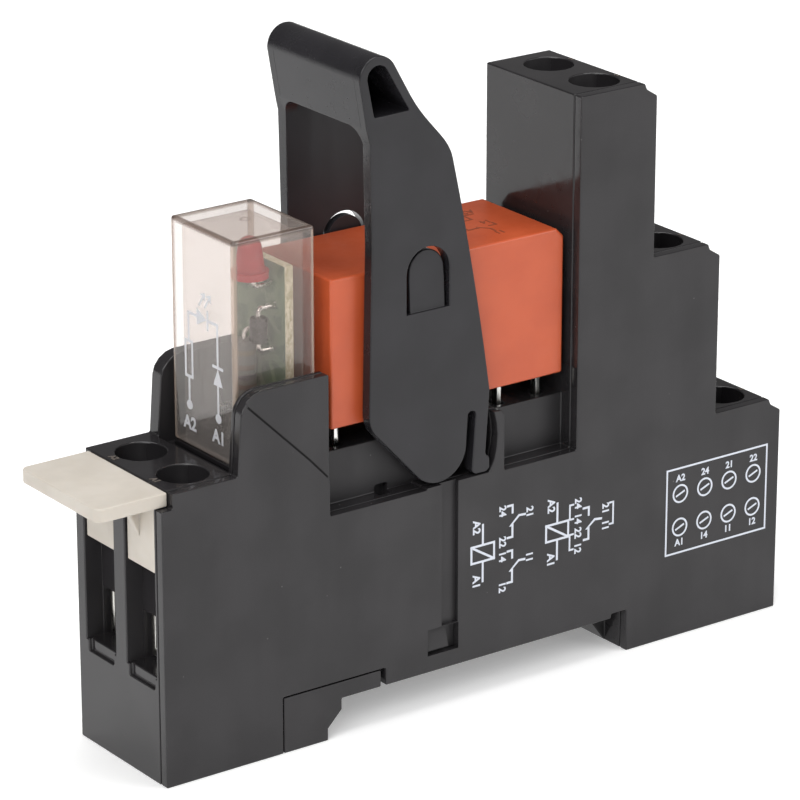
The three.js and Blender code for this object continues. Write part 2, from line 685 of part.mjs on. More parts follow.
const COIL = { x0: -10.7, x1: -0.6, z: 7.2, flangeHalfY: 5.2, flangeBelow: 4.3, flangeAbove: 4.5 };
const ARMATURE = { x0: -12.75, x1: -11.55, pivotZ: 1.9, top: 13.0 };
const CARD = { z0: 12.35, z1: 13.15, x0: -11.4, x1: 7.2 };
const SPRING = { x: 7.6, thickness: 0.4, baseZ: 1.6, top: 13.4, contactZ: 9.2 };

function relayCover() {
  const { halfX, halfY, height, wall } = RELAY;
  const outer = block([-halfX, halfX], [-halfY, halfY], [0, height]);
  const inner = block(
    [-halfX + wall, halfX - wall],
    [-halfY + wall, halfY - wall],
    [-THROUGH, height - wall],
  );
  return cut(outer, [inner]);
}

function relayPinX(key) {
  return RELAY_PIN_X[key] - RELAY.x;
}

function relayBase() {
  const { halfX, halfY, wall } = RELAY;
  const gap = wall + SEAM;
  const plate = block([-halfX + gap, halfX - gap], [-halfY + gap, halfY - gap], [0.3, 1.3]);
  const slots = Object.keys(RELAY_PIN_X).flatMap((key) => LANES.map((y) => block(
    [relayPinX(key) - 0.35, relayPinX(key) + 0.35],
    [y - 0.6, y + 0.6],
    [-THROUGH, 3],
  )));
  return cut(plate, slots);
}

function relayPin(key, y, top) {
  const x = relayPinX(key);
  return block([x - 0.25, x + 0.25], [y - 0.45, y + 0.45], [-4.02, top]);
}

function coilPin(y) {
  const tail = block([relayPinX('coil') - 0.25, -11.9], [y - 0.45, y + 0.45], [1.35, 1.65]);
  return join([relayPin('coil', y, 1.65), tail]);
}

function coilBobbin() {
  const { x0, x1, z, flangeHalfY, flangeBelow, flangeAbove } = COIL;
  const flange = (x) => block([x, x + 0.7], [-flangeHalfY, flangeHalfY], [z - flangeBelow, z + flangeAbove]);
  const tube = rod('x', [(x0 + x1) / 2, 0, z], x1 - x0, 2.3, 16);
  return cut(join([flange(x0), flange(x1 - 0.7), tube]), [rod('x', [(x0 + x1) / 2, 0, z], 20, 1.7, 16)]);
}

function coilWinding() {
  const { x0, x1, z } = COIL;
  const [left, right] = [x0 + 0.8, x1 - 0.8];
  return cut(rod('x', [(left + right) / 2, 0, z], right - left, 4.0, 20), [
    rod('x', [(left + right) / 2, 0, z], 20, 2.4, 16),
  ]);
}

function coilCore() {
  const { x0, x1, z } = COIL;
  return join([
    rod('x', [(x0 + x1) / 2, 0, z], x1 - x0 + 0.2, 1.6, 16),
    rod('x', [x0 - 0.25, 0, z], 0.3, 2.6, 16),
  ]);
}

// an L of soft iron: a plate under the coil and a wall behind its far end
function coilYoke() {
  const { x1, z } = COIL;
  const profile = outline([
    [-11.3, 1.6], [x1 + 1.3, 1.6], [x1 + 1.3, 10.5], [x1 + 0.15, 10.5], [x1 + 0.15, 2.6], [-11.3, 2.6],
  ]);
  const coreSocket = block([x1, x1 + 0.6], [-1.7, 1.7], [z - 1.7, z + 1.7]);
  return cut(prismY(profile, -4.2, 4.2), [coreSocket]);
}

function armature() {
  const { x0, x1, pivotZ, top } = ARMATURE;
  return join([
    block([x0, x1], [-4.2, 4.2], [pivotZ, top - 1.6]),
    block([x0, x1], [-1.5, 1.5], [top - 1.8, top]),
  ]);
}

function actuatorCard() {
  const { x0, x1, z0, z1 } = CARD;
  return join([
    block([x0, -1], [-1.4, 1.4], [z0, z1]),
    block([-1.2, x1], [-4.6, 4.6], [z0, z1]),
  ]);
}

// the moving blade: origin at its root on the base, with a rivet on each side
function movingContact(y) {
  const { x, thickness, baseZ, top, contactZ } = SPRING;
  const half = thickness / 2;
  return join([
    block([x - half, x + half], [y - 1.4, y + 1.4], [baseZ, top]),
    rod('x', [x, y, contactZ], 1.5, 0.9, 12),
  ]);
}

// the common pin stays in the base and carries the root of the moving blade
function commonPin(y) {
  const x = relayPinX('common');
  const root = block([x - 0.6, x + 0.6], [y - 1.2, y + 1.2], [1.35, 1.5]);
  return join([relayPin('common', y, 1.45), root]);
}

// a fixed blade that rises from its pin at `pinX` and holds a rivet facing the moving blade
function fixedContact(key, y) {
  const { x, contactZ } = SPRING;
  const isRestSide = key === 'nc';
  const side = isRestSide ? -1 : 1;
  const gap = isRestSide ? 0.06 : 0.5;
  const rivetFace = x + side * (0.75 + gap);
  const bladeX = rivetFace + side * 0.75;
  const pinX = relayPinX(key);
  return join([
    relayPin(key, y, 2.0),
    block(span(pinX - side * 0.25, bladeX + side * 0.2), [y - 0.9, y + 0.9], [1.5, 2.0]),
    block([bladeX - 0.2, bladeX + 0.2], [y - 1.3, y + 1.3], [1.5, 10.9]),
    rod('x', [(rivetFace + bladeX) / 2, y, contactZ], 0.75, 0.9, 12),
  ]);
}

// a thin bent leaf that pushes the armature away from the core
function returnSpring() {
  return prismY(ribbon([[-13.35, 1.55], [-13.35, 6], [-13.0, 10.5]], 0.15), -1.5, 1.5);
}

// ---------------------------------------------------------------- assembly

const relay = new THREE.Group();
relay.position.set(RELAY.x, 0, RELAY.z);

const indicator = new THREE.Group();
indicator.position.set(MODULE.x, 0, MODULE.z);

const group = new THREE.Group();
group.add(relay, indicator);

function addPart(parent, name, solid, finish, position = [0, 0, 0]) {
  const mesh = new THREE.Mesh(toGeometry(solid), new THREE.MeshStandardMaterial(FINISH[finish]));
  mesh.name = name;
  mesh.position.set(...position);
  parent.add(mesh);
}

addPart(group, 'socket_housing', socketHousing(), 'black');
addPart(group, 'side_cover', sideCover(), 'black');
addPart(group, 'rail_latch', railLatch(), 'black');
addPart(group, 'ejector_lever', ejectorLever(), 'leverBlack');
addPart(group, 'marking_tag', markingTag(), 'cream');

const cage = clampCage();
const screw = terminalScrew();
BANKS.forEach((bank) => {
  bank.pins.forEach((pin, lane) => {
    const y = LANES[lane];
    addPart(group, `clamp_cage_${pin}`, cage, 'zinc', [bank.screwX, y, bank.wireZ]);
    addPart(group, `terminal_screw_${pin}`, screw, 'zinc', [bank.screwX, y, bank.wireZ + SCREW.tip]);
    addPart(group, `contact_strip_${pin}`, contactStrip(bank, y), 'brass');
  });
});

addPart(indicator, 'module_cover', moduleCover(), 'smoky');
addPart(indicator, 'module_base', moduleBase(), 'black');
addPart(indicator, 'module_board', moduleBoard(), 'board');
addPart(indicator, 'indicator_lamp', indicatorLamp(), 'red', [PARTS_X, LAMP.y, LAMP.z]);
addPart(indicator, 'blocking_diode', axialPart(0.9, 2.6), 'glassDiode', [PARTS_X, -3.1, 13.5]);
addPart(indicator, 'series_resistor', axialPart(1.15, 6.2), 'resistor', [PARTS_X, -0.6, 8.8]);
LANES.forEach((y, lane) => {
  addPart(indicator, `module_blade_${['A1', 'A2'][lane]}`, moduleBlade(y), 'tinned');
});

addPart(relay, 'relay_cover', relayCover(), 'orange');
addPart(relay, 'relay_base', relayBase(), 'black');
addPart(relay, 'coil_bobbin', coilBobbin(), 'ivory');
addPart(relay, 'coil_winding', coilWinding(), 'copper');
addPart(relay, 'coil_core', coilCore(), 'iron');
addPart(relay, 'coil_yoke', coilYoke(), 'iron');
addPart(relay, 'armature', armature(), 'iron');
addPart(relay, 'actuator_card', actuatorCard(), 'ivory');
addPart(relay, 'return_spring', returnSpring(), 'tinned');
LANES.forEach((y, lane) => {
  const pole = lane + 1;
  addPart(relay, `coil_pin_A${pole}`, coilPin(y), 'tinned');
  addPart(relay, `common_pin_${pole}1`, commonPin(y), 'tinned');
  addPart(relay, `moving_contact_${pole}1`, movingContact(y), 'brass');
  addPart(relay, `closed_contact_${pole}2`, fixedContact('nc', y), 'brass');
  addPart(relay, `open_contact_${pole}4`, fixedContact('no', y), 'brass');
});

export default group;
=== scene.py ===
"""The finished look of the plug-in relay: its mouldings, prints and metalwork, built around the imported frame.

Lengths are in millimetres and are turned into metres where they are used, apart from the floor's size and
the lights' places and sizes, which are in metres.
X runs along the socket from the coil end (-X) to the contact end (+X), Y across its width, and Z is up.
"""
import json
import math

import bmesh
import bpy
from mathutils import Matrix, Vector
from mathutils.geometry import intersect_line_line_2d, intersect_point_line


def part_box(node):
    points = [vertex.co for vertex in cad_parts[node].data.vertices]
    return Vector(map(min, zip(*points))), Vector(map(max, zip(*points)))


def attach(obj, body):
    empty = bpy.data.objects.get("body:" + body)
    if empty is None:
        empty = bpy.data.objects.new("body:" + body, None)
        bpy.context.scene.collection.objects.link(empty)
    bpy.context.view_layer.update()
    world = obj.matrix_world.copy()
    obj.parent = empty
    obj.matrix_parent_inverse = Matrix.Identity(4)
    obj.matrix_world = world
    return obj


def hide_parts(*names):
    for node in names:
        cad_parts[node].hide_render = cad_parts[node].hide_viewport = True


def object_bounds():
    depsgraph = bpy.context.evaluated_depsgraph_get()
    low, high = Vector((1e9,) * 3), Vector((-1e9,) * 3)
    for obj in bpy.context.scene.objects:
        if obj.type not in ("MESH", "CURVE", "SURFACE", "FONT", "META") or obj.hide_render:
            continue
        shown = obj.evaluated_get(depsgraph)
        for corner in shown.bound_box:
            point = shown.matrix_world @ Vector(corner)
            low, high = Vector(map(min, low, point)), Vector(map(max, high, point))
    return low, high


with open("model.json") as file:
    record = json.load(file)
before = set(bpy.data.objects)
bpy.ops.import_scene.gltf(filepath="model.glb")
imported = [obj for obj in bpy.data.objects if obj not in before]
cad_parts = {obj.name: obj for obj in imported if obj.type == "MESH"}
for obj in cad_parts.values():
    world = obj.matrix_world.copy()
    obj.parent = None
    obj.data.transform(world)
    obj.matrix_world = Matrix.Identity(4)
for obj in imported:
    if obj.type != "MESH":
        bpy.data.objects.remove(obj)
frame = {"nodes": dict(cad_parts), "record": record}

MM = 0.001
CAD_BOX = [[float(x) for x in corner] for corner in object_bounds()]


def box_mm(node):
    """Lowest and highest corner of a CAD node, in millimetres."""
    return tuple(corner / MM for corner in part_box(node))


# ---------------------------------------------------------------- sizes taken from the frame

TAG_LOW, TAG_HIGH = box_mm("marking_tag")
MODULE_LOW, MODULE_HIGH = box_mm("module_cover")
LAMP_LOW, LAMP_HIGH = box_mm("indicator_lamp")
RELAY_LOW, RELAY_HIGH = box_mm("relay_cover")

OUTER_Y = box_mm("side_cover")[0].y  # the printed side
HALF_WIDTH = -OUTER_Y
BOARD_X = box_mm("module_board")[0].x  # the face of the module's board that carries its parts
TERMINALS = ("A1", "A2", "11", "12", "14", "21", "22", "24")
BODY_OF = {node: body for body, nodes in frame["record"]["behaviour"]["bodies"].items() for node in nodes}


# ---------------------------------------------------------------- node materials

# a Mix node keeps its factor and the pairs of numbers and of colours that it mixes in one row of sockets
MIX_FACTOR = 0
MIX_NUMBERS = (2, 3)
MIX_COLOURS = (6, 7)
MIXED_NUMBER = 0
MIXED_COLOUR = 2


class Surface:
    """A Principled material with short helpers for the procedural nodes that drive it."""

    def __init__(self, name, **values):
        self.material = bpy.data.materials.new(name)
        self.material.use_nodes = True
        self.tree = self.material.node_tree
        self.shader = self.tree.nodes["Principled BSDF"]
        self.place = self.node("ShaderNodeTexCoord").outputs["Object"]
        self.facing = self.node("ShaderNodeTexCoord").outputs["Normal"]
        for socket, value in values.items():
            self.set(socket.replace("_", " "), value)

    def node(self, kind, **settings):
        made = self.tree.nodes.new(kind)
        for key, value in settings.items():
            setattr(made, key, value)
        return made

    def link(self, source, target):
        if isinstance(source, bpy.types.NodeSocket):
            self.tree.links.new(source, target)
        else:
            target.default_value = source

    def set(self, socket, value):
        self.link(value, self.shader.inputs[socket])

    def math(self, operation, first, second=0.0):
        made = self.node("ShaderNodeMath", operation=operation)
        self.link(first, made.inputs[0])
        self.link(second, made.inputs[1])
        return made.outputs[0]

    def scaled(self, value, factor, offset=0.0):
        return self.math("ADD", self.math("MULTIPLY", value, factor), offset)

    def stretched(self, stretch):
        made = self.node("ShaderNodeMapping")
        made.inputs["Scale"].default_value = stretch
        self.link(self.place, made.inputs["Vector"])
        return made.outputs[0]

    def noise(self, size_mm, detail=3.0, stretch=None, roughness=0.5):
        """Noise from 0 to 1 whose blobs are about size_mm across."""
        made = self.node("ShaderNodeTexNoise")
        made.inputs["Scale"].default_value = 1 / (size_mm * MM)
        made.inputs["Detail"].default_value = detail
        made.inputs["Roughness"].default_value = roughness
        self.link(self.stretched(stretch) if stretch else self.place, made.inputs["Vector"])
        return made.outputs["Fac"]

    def cells(self, size_mm, feature="F1"):
        made = self.node("ShaderNodeTexVoronoi", feature=feature)
        made.inputs["Scale"].default_value = 1 / (size_mm * MM)
        self.link(self.place, made.inputs["Vector"])
        return made.outputs["Distance"]

    def ramp(self, value, low, high, to_low=0.0, to_high=1.0):
        """value from low..high goes smoothly to to_low..to_high, and stays there outside."""
        made = self.node("ShaderNodeMapRange", interpolation_type="SMOOTHSTEP")
        for socket, number in zip(("Value", "From Min", "From Max", "To Min", "To Max"),
                                  (value, low, high, to_low, to_high)):
            self.link(number, made.inputs[socket])
        return made.outputs[0]

    def blend(self, amount, first, second):
        """From one colour to another, by an amount from 0 to 1."""
        made = self.node("ShaderNodeMix", data_type="RGBA")
        for index, value in zip((MIX_FACTOR, *MIX_COLOURS), (amount, first, second)):
            self.link(value, made.inputs[index])
        return made.outputs[MIXED_COLOUR]

    def between(self, amount, first, second):
        """From one number to another, by an amount from 0 to 1."""
        made = self.node("ShaderNodeMix", data_type="FLOAT")
        for index, value in zip((MIX_FACTOR, *MIX_NUMBERS), (amount, first, second)):
            self.link(value, made.inputs[index])
        return made.outputs[MIXED_NUMBER]

    def layered(self, amount, under, over):
        """From one shader to another, by an amount from 0 to 1."""
        made = self.node("ShaderNodeMixShader")
        for index, value in enumerate((amount, under.outputs[0], over.outputs[0])):
            self.link(value, made.inputs[index])
        return made

    def axis(self, vector, index):
        made = self.node("ShaderNodeSeparateXYZ")
        self.link(vector, made.inputs[0])
        return made.outputs[index]

    def bump(self, height, depth_mm, strength=1.0):
        made = self.node("ShaderNodeBump")
        made.inputs["Distance"].default_value = depth_mm * MM
        made.inputs["Strength"].default_value = strength
        self.link(height, made.inputs["Height"])
        previous = self.shader.inputs["Normal"]
        if previous.is_linked:
            self.link(previous.links[0].from_socket, made.inputs["Normal"])
        self.link(made.outputs[0], previous)


def rgb(red, green, blue):
    return (red, green, blue, 1.0)


def shade(color, factor):
    return tuple(factor * x for x in color[:3]) + (1.0,)


def moulded_black(name, color, matt, gloss, streak_mm=4.0, mirror=0.42):
    """Black plastic, spark-eroded matt on the flat sides (+Y and -Y) and polished where it faces X or Z."""
    s = Surface(name, Specular_IOR_Level=mirror)
    side_on = s.math("ABSOLUTE", s.axis(s.facing, 1))
    on_side = s.ramp(side_on, 0.6, 0.9)
    flow = s.noise(streak_mm, 2.0, stretch=(1.0, 1.0, 0.16))
    cloud = s.noise(7.0, 3.0)
    handling = s.noise(1.6, 4.0, roughness=0.65)
    tone = s.blend(s.ramp(cloud, 0.35, 0.65), shade(color, 0.86), shade(color, 1.16))
    dust = s.ramp(s.cells(3.1), 0.035, 0.012)
    s.set("Base Color", s.blend(s.scaled(dust, 0.35), tone, rgb(0.24, 0.235, 0.23)))
    side_rough = s.ramp(flow, 0.3, 0.7, matt - 0.05, matt + 0.05)
    edge_rough = s.ramp(handling, 0.35, 0.7, gloss - 0.03, gloss + 0.07)
    s.set("Roughness", s.between(on_side, edge_rough, side_rough))
    s.bump(s.math("MULTIPLY", s.noise(0.16, 2.0), on_side), 0.012, 0.6)
    s.bump(s.noise(5.0, 1.0, stretch=(1.0, 1.0, 0.3)), 0.03, 0.35)
    return s.material


def cream_plastic():
    s = Surface("tag_cream", Roughness=0.5)
    cloud = s.noise(6.0, 3.0)
    tone = s.blend(s.ramp(cloud, 0.35, 0.65), rgb(0.52, 0.475, 0.415), rgb(0.57, 0.525, 0.465))
    speck = s.ramp(s.cells(2.3), 0.04, 0.015)
    s.set("Base Color", s.blend(s.scaled(speck, 0.25), tone, rgb(0.35, 0.30, 0.24)))
    s.set("Roughness", s.ramp(s.noise(1.2, 4.0), 0.3, 0.7, 0.42, 0.56))
    s.set("Subsurface Weight", 0.08)
    s.set("Subsurface Radius", (0.8 * MM, 0.6 * MM, 0.4 * MM))
    s.set("Subsurface Scale", 1.0)
    s.bump(s.noise(0.14, 2.0), 0.01, 0.6)
    return s.material


def orange_plastic():
    s = Surface("relay_orange")
    cloud = s.noise(5.0, 3.0)
    tone = s.blend(s.ramp(cloud, 0.3, 0.7), rgb(0.450, 0.072, 0.021), rgb(0.495, 0.085, 0.026))
    speck = s.ramp(s.cells(2.7), 0.03, 0.012)
    s.set("Base Color", s.blend(s.scaled(speck, 0.35), tone, rgb(0.75, 0.45, 0.35)))
    s.set("Roughness", s.ramp(s.noise(1.4, 4.0, roughness=0.6), 0.3, 0.7, 0.30, 0.40))
    s.bump(s.noise(0.20, 2.0), 0.010, 0.5)
    s.bump(s.noise(6.0, 1.0), 0.03, 0.25)
    return s.material


# painted shade: the clear hood's colour and the light it lets through are darkened in rims along its edges,
# standing for the dim look through its thick walls
SHADED_RIM_MM = 0.62  # width of the darker rim along the edges of the clear hood
MIRROR_HEAD_ON = 0.04  # share of the light that clear plastic mirrors where it meets it head-on


def hood_shaded_rims(s):
    """How far each point of the clear hood lies in the rims of its upright edges and of its top, which are
    darkened with painted shade.
    """
    low, high = MODULE_LOW * MM, MODULE_HIGH * MM
    near_edge = []
    for index in range(3):
        middle = (low[index] + high[index]) / 2
        half = (high[index] - low[index]) / 2
        off_middle = s.math("SUBTRACT", s.axis(s.place, index), middle)
        if index < 2:
            off_middle = s.math("ABSOLUTE", off_middle)
        near_edge.append(s.ramp(off_middle, half - SHADED_RIM_MM * MM, half - 0.45 * SHADED_RIM_MM * MM))
    sides = s.math("MULTIPLY", near_edge[0], near_edge[1])
    top = s.math("MULTIPLY", s.math("MAXIMUM", near_edge[0], near_edge[1]), near_edge[2])
    return sides, top


def clear_polycarbonate():
    """Smoke-tinted clear walls, which let tinted light through, mirror a little and hold a faint haze, whose
    colour is painted light: lighter on the -X face, darker on the ±Y faces, in between on top, and darkened by
    painted shade in rims along the edges.
    """
    s = Surface("module_clear", Roughness=0.3)
    sides, top = hood_shaded_rims(s)
    across, upward = (s.math("ABSOLUTE", s.axis(s.facing, index)) for index in (1, 2))
    # painted light: the haze is coloured lighter on the -X face, darker on the ±Y faces and in between on top,
    # as each face looks lit
    film = s.blend(across, rgb(0.80, 0.74, 0.70), rgb(0.40, 0.34, 0.30))
    film = s.blend(upward, film, rgb(0.62, 0.53, 0.47))
    # painted shade: the haze and the light let through are darker in the rims along the upright edges and along
    # the top
    film = s.blend(sides, film, rgb(0.52, 0.41, 0.33))
    s.set("Base Color", s.blend(top, film, rgb(0.105, 0.075, 0.062)))
    in_shaded_rim = s.math("MAXIMUM", sides, top)
    clear = s.node("ShaderNodeBsdfTransparent")
    s.link(s.blend(in_shaded_rim, rgb(0.960, 0.935, 0.922), rgb(0.70, 0.61, 0.56)), clear.inputs["Color"])
    cloud = s.scaled(s.noise(4.0, 3.0, stretch=(1.0, 1.0, 0.3)), 0.06, 0.08)
    # the haze holds more on top and in the rims, which carries the painted light and shade above into the
    # hood's look
    haze = s.math("ADD", cloud, s.math("MULTIPLY", upward, 0.10))
    held = s.math("ADD", haze, s.math("ADD", s.math("MULTIPLY", sides, 0.35), s.math("MULTIPLY", top, 0.5)))
    body = s.layered(held, clear, s.shader)
    mirror = s.node("ShaderNodeBsdfGlossy")
    mirror.inputs["Roughness"].default_value = 0.05
    weight = s.node("ShaderNodeLayerWeight")
    weight.inputs["Blend"].default_value = 0.5
    grazing = s.math("POWER", weight.outputs["Facing"], 5.0)
    mirrored = s.scaled(grazing, 1 - MIRROR_HEAD_ON, MIRROR_HEAD_ON)
    whole = s.layered(mirrored, body, mirror)
    s.link(whole.outputs[0], s.tree.nodes["Material Output"].inputs["Surface"])
    return s.material


def circuit_board():
    """Green mask on the two large faces, and a sawn glass-fibre edge."""
    s = Surface("circuit_board")
    on_face = s.ramp(s.math("ABSOLUTE", s.axis(s.facing, 0)), 0.6, 0.9)
    fibres = s.noise(0.45, 4.0, stretch=(1.0, 1.0, 0.5), roughness=0.75)
    edge = s.blend(s.ramp(fibres, 0.35, 0.68), rgb(0.46, 0.43, 0.27), rgb(0.86, 0.83, 0.66))
    tracks = s.ramp(s.cells(2.4, "DISTANCE_TO_EDGE"), 0.10, 0.16)
    mask = s.blend(tracks, rgb(0.12, 0.20, 0.11), rgb(0.055, 0.12, 0.060))
    s.set("Base Color", s.blend(on_face, edge, mask))
    s.set("Roughness", s.ramp(on_face, 0.0, 1.0, 0.85, 0.3))
    s.bump(fibres, 0.05, 0.6)
    return s.material


def red_lens():
    s = Surface("lamp_red", Roughness=0.12)
    depth = s.noise(2.5, 2.0)
    s.set("Base Color", s.blend(depth, rgb(0.40, 0.006, 0.016), rgb(0.52, 0.016, 0.030)))
    s.set("Subsurface Weight", 0.35)
    s.set("Subsurface Radius", (1.6 * MM, 0.3 * MM, 0.3 * MM))
    s.set("Subsurface Scale", 1.0)
    s.bump(s.noise(0.6, 2.0), 0.01, 0.4)
    return s.material


def metal(name, color, roughness, grain_mm=0.5, stretch=(1.0, 1.0, 0.15), tarnish=0.75):
    s = Surface(name, Metallic=1.0)
    grain = s.noise(grain_mm, 4.0, stretch=stretch, roughness=0.65)
    stain = s.noise(2.2, 3.0)
    s.set("Base Color", s.blend(s.ramp(stain, 0.45, 0.75), color, shade(color, tarnish)))
    s.set("Roughness", s.ramp(grain, 0.3, 0.7, roughness - 0.08, roughness + 0.1))
    s.bump(grain, 0.012, 0.5)
    return s.material


def contact_metal():
    """Rolled copper alloy blades inside the relay, whose pins below its base are tinned."""
    s = Surface("contact_brass", Metallic=1.0)
    bare_z, tinned_z = RELAY_LOW.z + 1.2, RELAY_LOW.z + 0.8
    grain = s.noise(0.5, 4.0, stretch=(1.0, 1.0, 0.15), roughness=0.65)
    below = s.ramp(s.axis(s.place, 2), bare_z * MM, tinned_z * MM)
    s.set("Base Color", s.blend(below, rgb(0.68, 0.47, 0.22), rgb(0.62, 0.61, 0.58)))
    s.set("Roughness", s.ramp(grain, 0.3, 0.7, 0.24, 0.42))
    s.bump(grain, 0.012, 0.5)
    return s.material


def copper_winding():
    """Enamelled wire laid in turns round the X axis, with painted shade in the grooves between the turns."""
    s = Surface("winding_copper", Metallic=0.85, Roughness=0.32)
    turn_mm = 0.28
    along = s.math("MULTIPLY", s.axis(s.place, 0), math.tau / (turn_mm * MM))
    turn_shade_wave = s.scaled(s.math("SINE", along), 0.5, 0.5)
    # painted shade: the colour runs dark brown in the grooves between the turns and copper on their crowns
    s.set("Base Color", s.blend(turn_shade_wave, rgb(0.30, 0.10, 0.045), rgb(0.72, 0.29, 0.13)))
    s.set("Coat Weight", 0.4)
    s.bump(turn_shade_wave, 0.10, 0.8)
    return s.material


def plain_plastic(name, dark, light, roughness, cloud_mm=3.0):
    s = Surface(name)
    s.set("Base Color", s.blend(s.ramp(s.noise(cloud_mm, 3.0), 0.3, 0.7), dark, light))
    s.set("Roughness", s.ramp(s.noise(0.9, 4.0), 0.3, 0.7, roughness - 0.06, roughness + 0.08))
    s.bump(s.noise(0.15, 2.0), 0.010, 0.5)
    return s.material


def banded_resistor():
    """A dull grey film resistor with faint colour bands round its Z axis."""
    s = Surface("resistor_body", Roughness=0.35)
    low, high = (corner.z * MM for corner in box_mm("series_resistor"))
    share = s.math("DIVIDE", s.math("SUBTRACT", s.axis(s.place, 2), low), high - low)
    color = s.blend(s.noise(1.0, 3.0), rgb(0.15, 0.16, 0.15), rgb(0.20, 0.20, 0.19))
    outside, inside = 0.034, 0.026  # from a band's middle, as shares of the length
    bands = (
        (0.30, rgb(0.16, 0.11, 0.10)),
        (0.42, rgb(0.13, 0.12, 0.14)),
        (0.54, rgb(0.17, 0.13, 0.10)),
        (0.72, rgb(0.21, 0.19, 0.14)),
    )
    for centre, paint in bands:
        off = s.math("ABSOLUTE", s.math("SUBTRACT", share, centre))
        color = s.blend(s.ramp(off, outside, inside), color, paint)
    s.set("Base Color", color)
    s.bump(s.noise(0.3, 3.0), 0.02, 0.5)
    return s.material


def ink(name, color, wear=0.12):
    """Pad-printed ink, thin enough that the plastic's grain shows in its roughness."""
    s = Surface(name)
    faded = s.ramp(s.noise(0.35, 4.0, roughness=0.7), 0.35, 0.75, 0.0, wear)
    s.set("Base Color", s.blend(faded, color, shade(color, 0.55)))
    s.set("Roughness", s.ramp(s.noise(0.8, 3.0), 0.3, 0.7, 0.42, 0.55))
    s.bump(s.noise(0.18, 2.0), 0.006, 0.5)
    return s.material


HOUSING_TONE = rgb(0.0200, 0.0186, 0.0200)
LEVER_TONE = rgb(0.0160, 0.0152, 0.0175)
BASE_TONE = rgb(0.012, 0.011, 0.012)
# the colour of the painted shadow laid along the foot of the ear's slanting step
STEP_SHADOW_TONE = rgb(0.014, 0.0132, 0.0138)
HOUSING = moulded_black("housing_black", HOUSING_TONE, matt=0.52, gloss=0.13)
LEVER = moulded_black("lever_black", LEVER_TONE, matt=0.40, gloss=0.22, streak_mm=2.6, mirror=0.34)
BASE = moulded_black("base_black", BASE_TONE, matt=0.35, gloss=0.2)
# a dull black, low in mirror, for the painted shadow along the foot of the ear's step
STEP_SHADOW = moulded_black("step_shadow_black", STEP_SHADOW_TONE, matt=0.60, gloss=0.0, mirror=0.05)
CREAM = cream_plastic()
ORANGE = orange_plastic()
CLEAR = clear_polycarbonate()
BOARD = circuit_board()
LAMP = red_lens()
ZINC = metal("zinc_steel", rgb(0.62, 0.61, 0.57), 0.32)
TINNED = metal("tinned_pin", rgb(0.78, 0.77, 0.74), 0.24)
SPRING = metal("spring_steel", rgb(0.52, 0.51, 0.50), 0.30)
IRON = metal("soft_iron", rgb(0.38, 0.38, 0.39), 0.42)
STRIP = metal("strip_brass", rgb(0.60, 0.42, 0.19), 0.34)
CONTACT = contact_metal()
COPPER = copper_winding()
IVORY = plain_plastic("bobbin_ivory", rgb(0.66, 0.61, 0.50), rgb(0.76, 0.71, 0.60), 0.45)
DIODE = plain_plastic("diode_body", rgb(0.020, 0.020, 0.022), rgb(0.034, 0.033, 0.035), 0.28, 1.2)
RESISTOR = banded_resistor()
WHITE_INK = ink("white_print", rgb(0.62, 0.65, 0.72))
HOOD_INK = ink("hood_print", rgb(0.60, 0.60, 0.63))
# a light tan for the raised deck numbers: partly a painted highlight standing for their glints, partly dust
DECK_GLINT_AND_DUST = ink("deck_number_glint_and_dust", rgb(0.13, 0.11, 0.095), wear=0.8)
BROWN_INK = ink("dark_print", rgb(0.26, 0.055, 0.018), wear=0.6)


# ---------------------------------------------------------------- mesh tools


def link(obj):
    bpy.context.scene.collection.objects.link(obj)
    return obj


def bmesh_object(name, bm):
    bmesh.ops.recalc_face_normals(bm, faces=bm.faces[:])
    mesh = bpy.data.meshes.new(name)
    bm.to_mesh(mesh)
    bm.free()
    return link(bpy.data.objects.new(name, mesh))


def arc(centre, radius, start, end, steps=16):
    """Points on an arc, with the angles in degrees."""
    angles = [math.radians(start + (end - start) * i / steps) for i in range(steps + 1)]
    return [(centre[0] + radius * math.cos(a), centre[1] + radius * math.sin(a)) for a in angles]


def circle(centre, radius, count):
    """Points all round a circle."""
    return arc(centre, radius, 0, 360 - 360 / count, count - 1)


def quarter_turn(steps):
    """Angles from 0 to a quarter turn, in radians."""
    return [math.pi / 2 * i / steps for i in range(steps + 1)]


def quadratic(start, control, end, steps=12):
    """Points on a quadratic curve, without its start."""
    points = []
    for i in range(1, steps + 1):
        t = i / steps
        points.append(tuple((1 - t) ** 2 * a + 2 * t * (1 - t) * c + t ** 2 * b
                            for a, c, b in zip(start, control, end)))
    return points


AXES = {
    "x": lambda a, b, along: (along, a, b),
    "y": lambda a, b, along: (a, along, b),
    "z": lambda a, b, along: (a, b, along),
}


def prism(name, rings, low, high, axis):
    """A flat outline and its holes, given a thickness from low to high along an axis."""
    bm = bmesh.new()
    place = AXES[axis]
    for ring in rings:
        corners = [bm.verts.new(Vector(place(a, b, low)) * MM) for a, b in ring]
        for first, second in zip(corners, corners[1:] + corners[:1]):
            bm.edges.new((first, second))
    bmesh.ops.triangle_fill(bm, use_beauty=True, use_dissolve=False, edges=bm.edges[:])
    made = bmesh.ops.extrude_face_region(bm, geom=bm.faces[:])
    moved = [v for v in made["geom"] if isinstance(v, bmesh.types.BMVert)]
    bmesh.ops.translate(bm, verts=moved, vec=Vector(place(0, 0, high - low)) * MM)
    return bmesh_object(name, bm)


def block(name, low, high):
    bm = bmesh.new()
    bmesh.ops.create_cube(bm, size=1)
    low, high = Vector(low), Vector(high)
    size = (high - low) * MM
    middle = (high + low) / 2 * MM
    placed = Matrix.Translation(middle) @ Matrix.Diagonal((*size, 1))
    bmesh.ops.transform(bm, matrix=placed, verts=bm.verts[:])
    return bmesh_object(name, bm)


